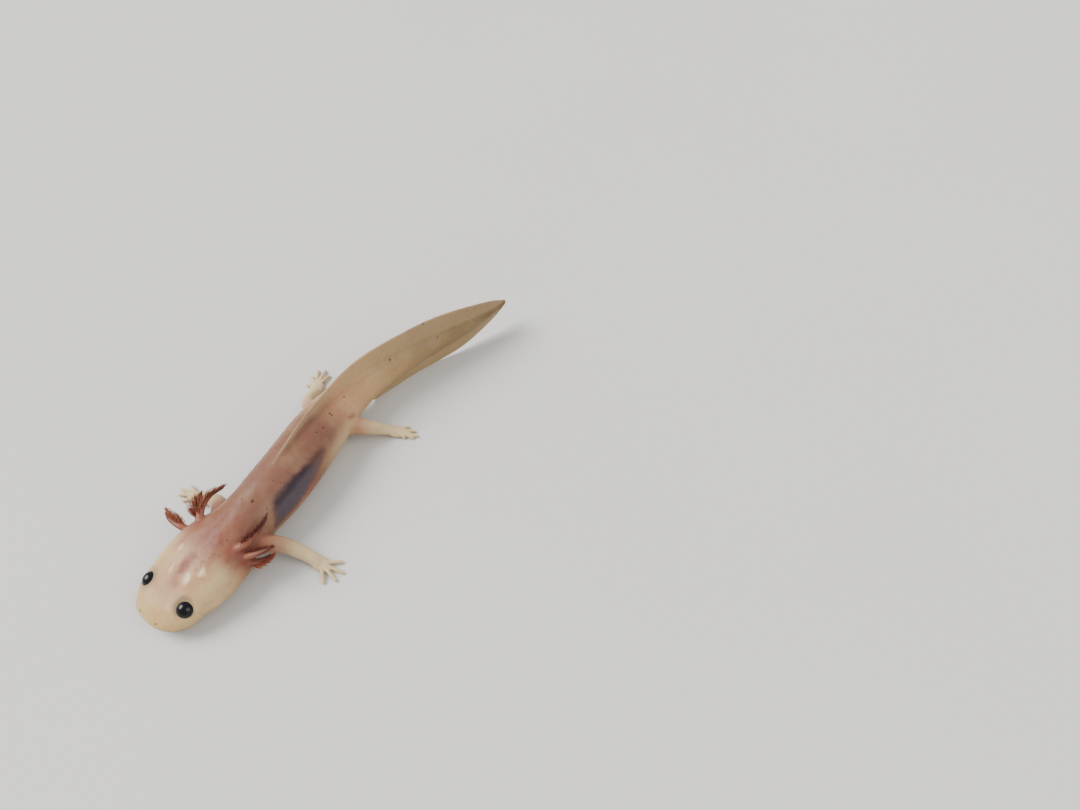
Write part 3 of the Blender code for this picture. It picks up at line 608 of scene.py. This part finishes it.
def skin():
    """All the flesh as one surface: the forms are fused on a fine lattice, their roots are eased into one
    another, the relief is laid on, and the flat stretches are given fewer faces."""
    grids = [flesh(), fin(DORSAL_START, DORSAL_EDGE, True), fin(VENTRAL_START, VENTRAL_EDGE, False)]
    for rows, tips in LIMBS.values():
        grids += limb(rows, tips)
    grids += [stalk(rows) for rows, *_ in GILLS.values()]
    made = shown("skin", mesh_of("skin", *joined(grids)))
    mesh = finished(made, "REMESH", mode="VOXEL", voxel_size=VOXEL)

    points = read(mesh.vertices, "co", 3)
    edges = read(mesh.edges, "vertices", 2, np.int32)
    points = relax(points, edges, 0.5, 4, keep_size=True)
    weight = root_weight(points, *places_of(points))[:, None]
    points = relax(points, edges, 0.5 * weight, ROOT_ROUNDS)
    mesh.vertices.foreach_set("co", points.ravel())
    mesh.update()
    normals = read(mesh.vertices, "normal", 3)
    points = points + relief(points, *places_of(points))[:, None] * normals
    points[:, 2] = np.maximum(points[:, 2], 0.0)
    mesh.vertices.foreach_set("co", (points * MM).ravel())
    mesh.update()

    mesh = finished(made, "DECIMATE", ratio=min(1.0, SKIN_SHARE * MOST_TRIANGLES / (2 * len(mesh.polygons))))
    mesh.shade_smooth()
    points = read(mesh.vertices, "co", 3) / MM
    along, side, height = places_of(points)
    leg, gill, fin_part, reach = kinds_of(points, along, side, height)
    _, widest, *_ = flesh_sizes(np.clip(along, 0.05, TOTAL_LENGTH))
    # Where shade is painted along the slit between the lips
    mouth = hill(height, widest, 0.2) * np.clip((MOUTH_CORNER - along) / MOUTH_FADE, 0, 1)
    attribute(mesh, "where", (along, side, height))
    attribute(mesh, "kind", (leg, gill, fin_part))
    attribute(mesh, "marks", (mouth, reach, np.zeros(len(points))))
    return made


def filaments(name, rows, fan, longest, orange, seed):
    """Two rows of fine tapering filaments along a gill stalk, all worked out as one array.

    A filament's line is root + length * share * (out * cos(bend) + ahead * sin(bend)), where the bend
    grows along it, and its flattened profile narrows from root to tip.
    """
    count, rings, sides = FILAMENTS_IN_ROW, FILAMENT_RINGS, FILAMENT_SIDES
    draw = np.random.default_rng(seed)
    line = curve_through(place_rows(rows), 0.05)
    ahead = np.gradient(line, axis=0)
    ahead /= np.linalg.norm(ahead, axis=1, keepdims=True)
    row = np.repeat((-1.0, 1.0), count)
    reached = np.tile(np.linspace(0.18, 0.985, count), 2) + draw.normal(0, 0.006, 2 * count)
    reached = np.clip(reached, 0.1, 0.995)
    at = (reached * (len(line) - 1)).astype(int)
    root, along = line[at], ahead[at]
    fan_way = place(*(np.array(rows[0]) + np.array(fan))) - place(*rows[0])
    outward = fan_way - along * (along @ fan_way)[:, None]
    outward /= np.linalg.norm(outward, axis=1, keepdims=True)
    sideways = np.cross(along, outward)
    spread = (row * math.radians(FILAMENT_SPREAD) + draw.normal(0, 0.2, 2 * count))[:, None]
    out = outward * np.cos(spread) + sideways * np.sin(spread)
    stalk_half = STALK_ROOT_HALF + (STALK_TIP_HALF - STALK_ROOT_HALF) * reached
    length = stalk_half + longest * (1 - 0.62 * reached**2) * draw.uniform(0.8, 1.12, 2 * count)

    share = np.linspace(0, 1, rings)
    lean = math.radians(FILAMENT_LEAN) + math.radians(FILAMENT_TIP_LEAN) * reached
    lean = lean + draw.normal(0, 0.07, 2 * count)
    bend = (lean[:, None] + math.radians(FILAMENT_BEND) * share)[:, :, None]
    way = out[:, None] * np.cos(bend) + along[:, None] * np.sin(bend)
    centre = root[:, None] + (length[:, None] * share)[:, :, None] * way
    curl = np.sin(share * 2.9)[None, :, None] * draw.normal(0, 0.11, (2 * count, 1, 3))
    centre = centre + curl
    across = np.cross(way, along[:, None])
    across /= np.linalg.norm(across, axis=2, keepdims=True)
    upright = np.cross(across, way)
    half = FILAMENT_HALF * (1 - 0.72 * share**1.5) * np.sqrt(np.clip(1.02 - share**8, 0, 1))
    turn = np.linspace(0, 2 * math.pi, sides, endpoint=False)[None, None, :, None]
    thick = half[None, :, None, None]
    ring = across[:, :, None] * np.cos(turn) * thick + upright[:, :, None] * np.sin(turn) * thick * 0.7
    points = centre[:, :, None] + ring

    one = quads_of(rings, sides)
    offset = (np.arange(2 * count) * rings * sides)[:, None, None]
    mesh = mesh_of(name, points.reshape(-1, 3) * MM, (one[None] + offset).reshape(-1, 4))
    share_at = np.broadcast_to(share[None, :, None], points.shape[:3]).ravel()
    tone = np.broadcast_to(draw.uniform(0, 1, (2 * count, 1, 1)), points.shape[:3]).ravel()
    attribute(mesh, "marks", (share_at, tone, np.full(len(share_at), orange)))
    patch_map(mesh, one, 2 * count, rings, sides)
    return shown(name, mesh)


def patch_map(mesh, one, pieces, rings, sides):
    """A UV map in which each of many like pieces has a square patch of its own, on a square grid."""
    cells = math.ceil(math.sqrt(pieces))
    ring, turn = one // sides, one % sides
    closes_round = (turn.max(1) - turn.min(1) > sides / 2) & (ring.max(1) != ring.min(1))
    u = (turn + (closes_round[:, None] & (turn == 0)) * sides) / sides
    v = ring / (rings - 1)
    patch = np.arange(pieces)[:, None, None]
    places = np.stack(
        [(patch % cells + 0.05 + 0.9 * u[None]) / cells, (patch // cells + 0.05 + 0.9 * v[None]) / cells], -1
    )
    made = mesh.uv_layers.new(name="OFBake")
    made.data.foreach_set("uv", places.astype(np.float32).ravel())


def eyeball(name, left):
    """A sphere turned about the eye's axis, with the cornea standing out a little round its pole."""
    polar = np.linspace(0.02, math.pi - 0.02, 48)[:, None]
    turn = np.linspace(0, 2 * math.pi, 64, endpoint=False)[None]
    radius = EYE_RADIUS * (0.985 + 0.015 * hill(polar, 0, 0.55))
    outward = place(EYE_AT[0], (EYE_AT[1] + EYE_FACES[0]) * left, EYE_AT[2] + EYE_FACES[2])
    centre = place(*mirrored(EYE_AT, left))
    axis = (outward - centre) / np.linalg.norm(outward - centre)
    first = np.cross(axis, (0.0, 1.0, 0.0))
    first /= np.linalg.norm(first)
    second = np.cross(axis, first)
    points = centre + radius[..., None] * (
        np.cos(polar)[..., None] * axis
        + (np.sin(polar) * np.cos(turn))[..., None] * first
        + (np.sin(polar) * np.sin(turn))[..., None] * second
    )
    mesh = mesh_of(name, points.reshape(-1, 3) * MM, quads_of(*points.shape[:2]))
    angle = np.broadcast_to(polar, points.shape[:2]).ravel()
    attribute(mesh, "marks", (angle, np.zeros(len(angle)), np.zeros(len(angle))))
    return shown(name, mesh)


class Link:
    """An output socket that Python's operators work on, each of which adds a Math node."""

    def __init__(self, paint, socket):
        self.paint, self.socket = paint, socket

    def maths(self, operation, other, swapped=False):
        """A Math node on this and another value, in this order unless swapped."""
        first, second = (other, self) if swapped else (self, other)
        return self.paint.node("ShaderNodeMath", {"operation": operation}, {0: first, 1: second})

    def __add__(self, other):
        return self.maths("ADD", other)

    def __sub__(self, other):
        return self.maths("SUBTRACT", other)

    def __rsub__(self, other):
        return self.maths("SUBTRACT", other, True)

    def __mul__(self, other):
        return self.maths("MULTIPLY", other)

    def __truediv__(self, other):
        return self.maths("DIVIDE", other)

    def __abs__(self):
        return self.maths("ABSOLUTE", 0.0)

    __radd__, __rmul__ = __add__, __mul__

    def over(self, other):
        """The larger of this and another value."""
        return self.maths("MAXIMUM", other)

    def eased(self, low, high):
        """0 up to low, 1 from high on, and smooth between."""
        if low > high:
            return 1 - self.eased(high, low)
        inputs = {"Value": self, "From Min": low, "From Max": high}
        return self.paint.node("ShaderNodeMapRange", {"interpolation_type": "SMOOTHSTEP"}, inputs)


class Paint:
    """A material's node tree, with one method that makes any node."""

    def __init__(self, name, **constants):
        self.material = bpy.data.materials.new(name)
        self.material.use_nodes = True
        self.tree = self.material.node_tree
        self.surface = self.tree.nodes["Principled BSDF"]
        for socket, value in constants.items():
            self.surface.inputs[socket.replace("_", " ")].default_value = value

    def node(self, kind, settings=None, inputs=None, output=0):
        """A node of this type with its settings, then its sockets' values or links; gives one output."""
        made = self.tree.nodes.new(kind)
        for name, value in (settings or {}).items():
            if name == "stops":
                self.set_stops(made.color_ramp, value)
            else:
                setattr(made, name, value)
        for name, value in (inputs or {}).items():
            self.feed(made.inputs[name], value)
        return Link(self, made.outputs[output])

    def set_stops(self, ramp, stops):
        """Gives a colour ramp these positions and colours."""
        while len(ramp.elements) < len(stops):
            ramp.elements.new(1.0)
        for element, (position, colour) in zip(ramp.elements, stops):
            element.position, element.color = position, colour

    def feed(self, socket, value):
        """Links a socket, or sets its value."""
        if isinstance(value, Link):
            self.tree.links.new(value.socket, socket)
        else:
            socket.default_value = value

    def split(self, vector):
        """The three values of a vector."""
        made = self.node("ShaderNodeSeparateXYZ", None, {0: vector}).socket.node
        return [Link(self, made.outputs[i]) for i in range(3)]

    def parts(self, name):
        """A three-part attribute: its vector, then its three values."""
        vector = self.node("ShaderNodeAttribute", {"attribute_name": name}, output="Vector")
        return (vector, *self.split(vector))

    def mix(self, share, first, second):
        """From the first colour to the second by the share."""
        made = self.node("ShaderNodeMix", {"data_type": "RGBA"}, {"Factor": share}).socket.node
        self.feed(made.inputs[6], first)
        self.feed(made.inputs[7], second)
        return Link(self, made.outputs[2])

    def vector(self, operation, first, second, output=0):
        """A Vector Math node on two vectors."""
        return self.node("ShaderNodeVectorMath", {"operation": operation}, {0: first, 1: second}, output)

    def spot(self, where, centre, radii, full=0.2):
        """1 inside this share of an ellipsoid round a place on the body, fading out to its radii."""
        off = self.vector("SUBTRACT", where, centre)
        scaled = self.vector("DIVIDE", off, radii)
        return self.vector("LENGTH", scaled, (0, 0, 0), "Value").eased(1.0, full)

    def noise(self, vector, scale, detail=3.0, rough=0.5, output=0):
        """Smooth noise about one half, with this many waves in one unit of its vector."""
        inputs = {"Vector": vector, "Scale": scale, "Detail": detail, "Roughness": rough}
        return self.node("ShaderNodeTexNoise", None, inputs, output)

    def cells(self, vector, scale, output="Distance"):
        """Distance to the nearest of scattered points, or a colour for each."""
        return self.node("ShaderNodeTexVoronoi", None, {"Vector": vector, "Scale": scale}, output)

    def finish(self, **fed):
        """Feeds the shader's sockets and gives the material."""
        for socket, value in fed.items():
            self.feed(self.surface.inputs[socket.replace("_", " ")], value)
        return self.material


def tint(red, green, blue):
    """A display colour, each part from 0 to 255, as the linear colour that shaders take."""
    parts = [part / 255 for part in (red, green, blue)]
    return (*(p / 12.92 if p <= 0.04045 else ((p + 0.055) / 1.055) ** 2.4 for p in parts), 1.0)


CREAM = tint(206, 181, 134)
HIGHLIGHT_CREAM = tint(226, 206, 168)
SNOUT_CREAM = tint(198, 167, 108)
HEAD_TOP = tint(182, 140, 98)
NAPE = tint(133, 83, 65)
BACK = tint(125, 86, 67)
HIP = tint(188, 142, 104)
TAIL_BASE = tint(182, 147, 102)
TAIL_MID = tint(146, 120, 84)
TAIL_END = tint(106, 84, 54)
BELLY = tint(158, 132, 94)
BRAIN_RED = tint(122, 44, 30)
BLOOD = tint(116, 50, 44)
GUT = tint(36, 20, 30)
GUT_BLUE = tint(74, 68, 75)
GUT_EDGE = tint(84, 52, 52)
LEG = tint(206, 183, 140)
# Pink of the leg roots and pores, also used for the painted shade along the mouth's slit
PINK_AND_MOUTH_SHADE = tint(156, 100, 78)
# Dark flecks on the back, also used for the painted shade in the nostrils
DARK_FLECK_AND_SHADE = tint(40, 26, 20)
GILL_STALK = tint(140, 88, 68)
GILL_TIP = tint(86, 44, 34)
FILAMENT_ROOT = tint(82, 34, 24)
FILAMENT_ORANGE = tint(150, 80, 56)
FILAMENT_TIP = tint(40, 10, 8)
FIN = tint(150, 126, 90)
FIN_EDGE = tint(166, 143, 106)
EYE_HALO = tint(84, 80, 78)
EYE_BLACK = (0.003, 0.003, 0.004, 1)
EYE_RIM_GREY = tint(22, 23, 27)

# Painted highlights as pale spots beside the brain, stronger on its left: place, radii and strength
PAINTED_HIGHLIGHT_SPOTS = (
    (8.9, 2.3, 7.2, (1.7, 0.8, 1.5), 1.0),
    (11.1, 3.8, 7.7, (1.3, 0.9, 1.5), 0.9),
    (8.9, -2.0, 7.2, (1.3, 0.6, 1.5), 0.45),
    (11.8, -3.2, 7.8, (1.0, 0.7, 1.5), 0.4),
)

# The largest dark flecks on the back, place and half width, then how many cells in a metre may hold one of
# the small ones, or a pore
FLECKS = (
    (25.2, 1.6, 9.7, 0.42), (42.4, 2.9, 9.9, 0.26), (47.4, 2.5, 9.8, 0.3), (52.5, 2.1, 9.4, 0.28),
    (65.9, 0.9, 8.7, 0.42), (30.6, 3.2, 9.6, 0.2), (36.2, -2.2, 10.2, 0.24), (57.2, 1.7, 9.0, 0.22),
)
FLECK_CELLS = 700.0
PORE_CELLS = 820.0


def moved(paint, vector, wander, reach):
    """A vector led astray by noise, up to about half the reach each way."""
    return paint.vector("ADD", vector, paint.vector("MULTIPLY", wander, (reach, reach, reach)))


def skin_fields(paint):
    """What the skin's colours depend on: the place on the body, the kind of part, and noises."""
    at = SimpleNamespace()
    at.object = paint.node("ShaderNodeTexCoord", output="Object")
    at.where, at.along, at.side, at.height = paint.parts("where")
    _, at.leg, at.gill, at.fin = paint.parts("kind")
    _, at.mouth, at.reach, _ = paint.parts("marks")
    at.off_middle = abs(at.side)
    at.broad = paint.noise(at.object, 260.0, 3.0)
    at.fine = paint.noise(at.object, 1500.0, 4.0, 0.6)
    at.mottled = paint.noise(at.object, 900.0, 3.0, 0.55)
    wander = paint.noise(at.object, 420.0, 3.0, output="Color")
    wander = paint.vector("SUBTRACT", wander, (0.5, 0.5, 0.5))
    at.strayed = moved(paint, at.where, wander, 2.4)
    at.nearby = moved(paint, at.where, wander, 0.6)
    at.scattered = moved(paint, at.object, wander, 1.2 * MM)
    return at


def ground_colour(paint, at):
    """The colour along the body, creamier on the belly and down the sides of the head, where the cream is
    partly a painted rim of light.
    """
    stops = (
        (0.0, SNOUT_CREAM), (0.05, HEAD_TOP), (0.1, HEAD_TOP), (0.175, NAPE), (0.26, BACK),
        (0.46, BACK), (0.545, HIP), (0.62, TAIL_BASE), (0.76, TAIL_MID), (1.0, TAIL_END),
    )
    colour = paint.node("ShaderNodeValToRGB", {"stops": stops}, {"Fac": at.along / TOTAL_LENGTH})
    # Cream down the sides of the head: partly the head's own colour, partly a painted rim of light
    cheek_cream_and_rim_light = at.off_middle.eased(3.6, 6.4) * at.along.eased(17.0, 12.0)
    colour = paint.mix(cheek_cream_and_rim_light * 0.55, colour, CREAM)
    colour = paint.mix((at.height + at.broad * 2.0).eased(5.6, 1.6) * 0.8, colour, BELLY)
    colour = paint.mix(at.mottled.eased(0.5, 0.72) * 0.14, colour, BLOOD)
    paleness = 0.12 + at.along.eased(16.0, 11.0) * 0.28
    return paint.mix(at.broad.eased(0.4, 0.72) * paleness, colour, CREAM)


def head_marks(paint, at, colour):
    """The brain's red through the skull, pale spots beside it painted as highlights, the flushed nape and
    gill roots, the nape's mottled pigment, and the pores of the head."""
    brain = paint.spot(at.strayed, (10.3, 0.3, 8.1), (3.9, 2.1, 3.5)) * (0.65 + at.mottled * 0.4)
    front = paint.spot(at.strayed, (7.6, 0.4, 7.4), (3.2, 1.5, 3.5)) * 0.5
    nape = paint.spot(at.strayed, (16.4, 1.2, 9.0), (6.0, 4.8, 4.5)) * 0.35
    colour = paint.mix(brain.over(front).over(nape), colour, BRAIN_RED)
    on_nape = paint.spot(at.strayed, (15.0, 1.5, 8.6), (7.0, 4.8, 4.5), 0.1)
    pigment = at.mottled.eased(0.44, 0.62) * at.fine.eased(0.38, 0.6)
    colour = paint.mix(pigment * on_nape * 0.45, colour, GUT_EDGE)
    # Pale spots painted in as highlights beside the brain
    for along, side, height, radii, strength in PAINTED_HIGHLIGHT_SPOTS:
        spot = paint.spot(at.strayed, (along, side, height), radii)
        colour = paint.mix(spot * strength, colour, HIGHLIGHT_CREAM)
    for left in (1, -1):
        flush = paint.spot(at.strayed, (17.2, 5.4 * left, 6.9), (4.8, 3.2, 3.4)) * 0.65
        colour = paint.mix(flush, colour, BLOOD)
    pores = paint.cells(at.scattered, PORE_CELLS).eased(0.2, 0.06) * at.along.eased(16.0, 9.0)
    return paint.mix(pores * at.broad.eased(0.4, 0.55) * 0.22, colour, PINK_AND_MOUTH_SHADE)


def trunk_marks(paint, at, colour):
    """The gut's dark patch through each flank, purple above and blue-grey below, and the red hips."""
    uneven = at.broad - 0.5
    level = at.height + uneven * 1.2
    below_top = 9.05 - at.along.eased(37.0, 46.0) * 1.6 - level
    above_low = level - at.along.eased(27.0, 44.0) * 2.6 - 4.4
    front = (at.along + uneven * 2.0 - (at.height - 6.5) * 0.55).eased(25.2, 27.4)
    rear = (at.along + uneven * 3.0).eased(45.0, 32.5)
    between = below_top.eased(-0.5, 1.0) * above_low.eased(-1.2, 1.2)
    gut = at.off_middle.eased(1.6, 3.0) * front * rear * between
    colour = paint.mix(gut.eased(0.0, 0.5) * 0.6, colour, GUT_EDGE)
    within = paint.mix(below_top.eased(2.0, 0.4), GUT_BLUE, GUT)
    colour = paint.mix(gut.eased(0.2, 1.0) * (1.0 - at.mottled * 0.2), colour, within)
    behind = at.height.eased(8.2, 5.0) * at.along.eased(36.0, 45.0) * at.along.eased(56.0, 50.0)
    colour = paint.mix(behind * (1.0 - gut.eased(0.1, 0.5)) * 0.55, colour, CREAM)
    for left in (1, -1):
        hip = paint.spot(at.strayed, (50.7, 4.5 * left, 6.2), (2.4, 0.9, 2.2)) * 0.5
        colour = paint.mix(hip, colour, BLOOD)
    return colour


def limb_marks(paint, at, colour):
    """Pale legs that turn pink at the root, pale veined fins, and gill stalks that darken to their tips."""
    colour = paint.mix(at.leg * at.reach.eased(0.7, 0.25) * 0.75, colour, PINK_AND_MOUTH_SHADE)
    colour = paint.mix(at.leg * at.reach.eased(0.2, 0.8), colour, LEG)
    colour = paint.mix(at.leg * at.mottled.eased(0.5, 0.68) * 0.2, colour, PINK_AND_MOUTH_SHADE)
    fin_tint = paint.mix(at.fin.eased(0.5, 1.0), FIN, FIN_EDGE)
    colour = paint.mix(at.fin * 0.55, colour, fin_tint)
    swept = {"X": at.along - at.height * 0.9, "Y": at.height * 0.25}
    veins = paint.noise(paint.node("ShaderNodeCombineXYZ", None, swept), 0.42, 3.0, 0.5)
    veins = abs(veins - 0.5).eased(0.03, 0.0)
    on_tail = at.along.eased(50.0, 60.0) * (0.35 + at.fin * 0.65) * (1 - at.leg)
    colour = paint.mix(veins * on_tail * 0.14, colour, BLOOD)
    stalk_tint = paint.mix(at.reach.eased(0.2, 0.9), GILL_STALK, GILL_TIP)
    return paint.mix(at.gill, colour, stalk_tint)


def small_marks(paint, at, colour):
    """Scattered dark flecks on the back, the grey skin beside the eyes, and painted shade in the
    nostrils and along the mouth's slit.
    """
    chance = paint.split(paint.cells(at.scattered, FLECK_CELLS, "Color"))[0].eased(0.8, 0.9)
    flecks = paint.cells(at.scattered, FLECK_CELLS).eased(0.2, 0.08) * chance
    for along, side, height, half in FLECKS:
        flecks = flecks.over(paint.spot(at.nearby, (along, side, height), (half, half * 0.8, half), 0.5))
    on_back = at.height.eased(5.0, 7.5) * at.along.eased(10.0, 18.0) * (1 - at.gill)
    colour = paint.mix(flecks * on_back * 0.75, colour, DARK_FLECK_AND_SHADE)
    for left in (1, -1):
        beside_eye = (EYE_AT[0], (EYE_AT[1] - 0.3) * left, EYE_AT[2] + 0.9)
        halo = paint.spot(at.where, beside_eye, (2.5, 2.5, 2.6), 0.5)
        colour = paint.mix(halo * 0.4, colour, EYE_HALO)
        # Painted shade darkens the nostril pits
        nostril_shade = paint.spot(at.where, mirrored(NOSTRIL_AT, left), (0.32, 0.32, 0.45), 0.3)
        colour = paint.mix(nostril_shade * 0.6, colour, DARK_FLECK_AND_SHADE)
    # Painted shade along the mouth's slit, in a darker pink-brown
    return paint.mix(at.mouth * 0.5, colour, PINK_AND_MOUTH_SHADE)


def skin_paint():
    """Moist translucent skin: its colours run along the body, with patches that show from beneath."""
    paint = Paint(
        "axolotl_skin",
        Subsurface_Weight=0.3, Subsurface_Radius=(1.0, 0.42, 0.26), Subsurface_Scale=0.0014,
        IOR=1.36, Specular_IOR_Level=0.2, Coat_Weight=0.1, Coat_Roughness=0.16,
    )
    at = skin_fields(paint)
    colour = ground_colour(paint, at)
    for marks in (head_marks, trunk_marks, limb_marks, small_marks):
        colour = marks(paint, at, colour)
    rough = 0.44 + (at.fine - 0.5) * 0.25 + at.leg * 0.04
    grain = paint.noise(at.object, 5200.0, 2.0, 0.6) + at.fine * 0.6
    bump = paint.node("ShaderNodeBump", None, {"Strength": 0.12, "Distance": 0.0002, "Height": grain})
    return paint.finish(Base_Color=colour, Roughness=rough, Normal=bump)


def filament_paint():
    """Filaments that darken to their tips, each a little different, on some gills a translucent orange."""
    paint = Paint(
        "gill_filaments",
        Subsurface_Weight=0.4, Subsurface_Radius=(1.0, 0.35, 0.2), Subsurface_Scale=0.0008,
        IOR=1.36, Specular_IOR_Level=0.3, Coat_Weight=0.06, Coat_Roughness=0.2,
    )
    _, share, tone, orange = paint.parts("marks")
    colour = paint.mix(share.eased(0.1, 0.9), FILAMENT_ROOT, FILAMENT_TIP)
    colour = paint.mix(orange * (0.6 + tone * 0.4), colour, FILAMENT_ORANGE)
    colour = paint.mix(tone * 0.15, colour, GILL_STALK)
    return paint.finish(Base_Color=colour, Roughness=0.4 + tone * 0.1)


def eye_paint():
    """A wet black eye with a faint blue-grey rim where it meets the skin."""
    paint = Paint("eye_black", IOR=1.36, Specular_IOR_Level=0.25, Coat_Weight=0.25, Coat_Roughness=0.08)
    _, angle, _, _ = paint.parts("marks")
    rim = math.asin(EYE_CAP / EYE_RADIUS)
    colour = paint.mix(angle.eased(rim - 0.12, rim), EYE_BLACK, EYE_RIM_GREY)
    return paint.finish(Base_Color=colour, Roughness=0.18 + angle.eased(rim - 0.2, rim) * 0.15)


def stage():
    """A plain pale round floor, and soft studio light from above that is even all over it."""
    turn = np.linspace(0, 2 * math.pi, FLOOR_SIDES, endpoint=False)
    rim = FLOOR_RADIUS * np.stack([np.cos(turn), np.sin(turn), np.zeros(len(turn))], 1)
    floor = shown("floor", mesh_of("floor", rim, np.arange(len(turn))[None]))
    paint = Paint("floor_pale", Roughness=0.75)
    place_on = paint.node("ShaderNodeTexCoord", output="Object")
    tone = paint.noise(place_on, 8.0, 2.0)
    floor.data.materials.append(paint.finish(Base_Color=paint.mix(tone, *FLOOR_TONES)))
    for name, at, width_seen, power in LIGHTS:
        light = bpy.data.lights.new(name, "SUN")
        light.angle, light.energy = math.radians(width_seen), power
        made = shown(name, light)
        made.location = at
        made.rotation_euler = (-Vector(at)).to_track_quat("-Z", "Y").to_euler()
    world = bpy.data.worlds.new("studio")
    world.use_nodes = True
    surround = world.node_tree.nodes["Background"]
    surround.inputs["Color"].default_value = SURROUND
    surround.inputs["Strength"].default_value = SURROUND_STRENGTH
    bpy.context.scene.world = world


def camera():
    """The photograph's viewpoint: just above the head, looking down along the body."""
    data = bpy.data.cameras.new("camera")
    data.lens, data.sensor_width, data.clip_start = CAMERA_LENS, CAMERA_SENSOR, 0.005
    made = shown("camera", data)
    ahead, right = Vector(CAMERA_AHEAD).normalized(), Vector(CAMERA_RIGHT).normalized()
    up = right.cross(ahead)
    turned = Matrix((right, up, -ahead)).transposed()
    made.matrix_world = Matrix.Translation(Vector(CAMERA_AT) * MM) @ turned.to_4x4()
    bpy.context.scene.camera = made


def main():
    """Makes the stage and every piece, and says what body each rides on and what it replaces."""
    camera()
    stage()
    body = skin()
    body.data.materials.append(skin_paint())
    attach(body, "root")
    flesh_nodes = [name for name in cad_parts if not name.startswith("eye_")]
    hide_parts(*flesh_nodes)
    wet_red = filament_paint()
    for seed, (name, traits) in enumerate(GILLS.items()):
        made = filaments(f"{name}_filaments", *traits, seed)
        made.data.materials.append(wet_red)
        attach(made, "root")
        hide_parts(name)
    wet_black = eye_paint()
    for name, left in (("eye_left", 1), ("eye_right", -1)):
        made = eyeball(f"{name}_ball", left)
        made.data.materials.append(wet_black)
        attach(made, "root")
        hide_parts(name)


main()
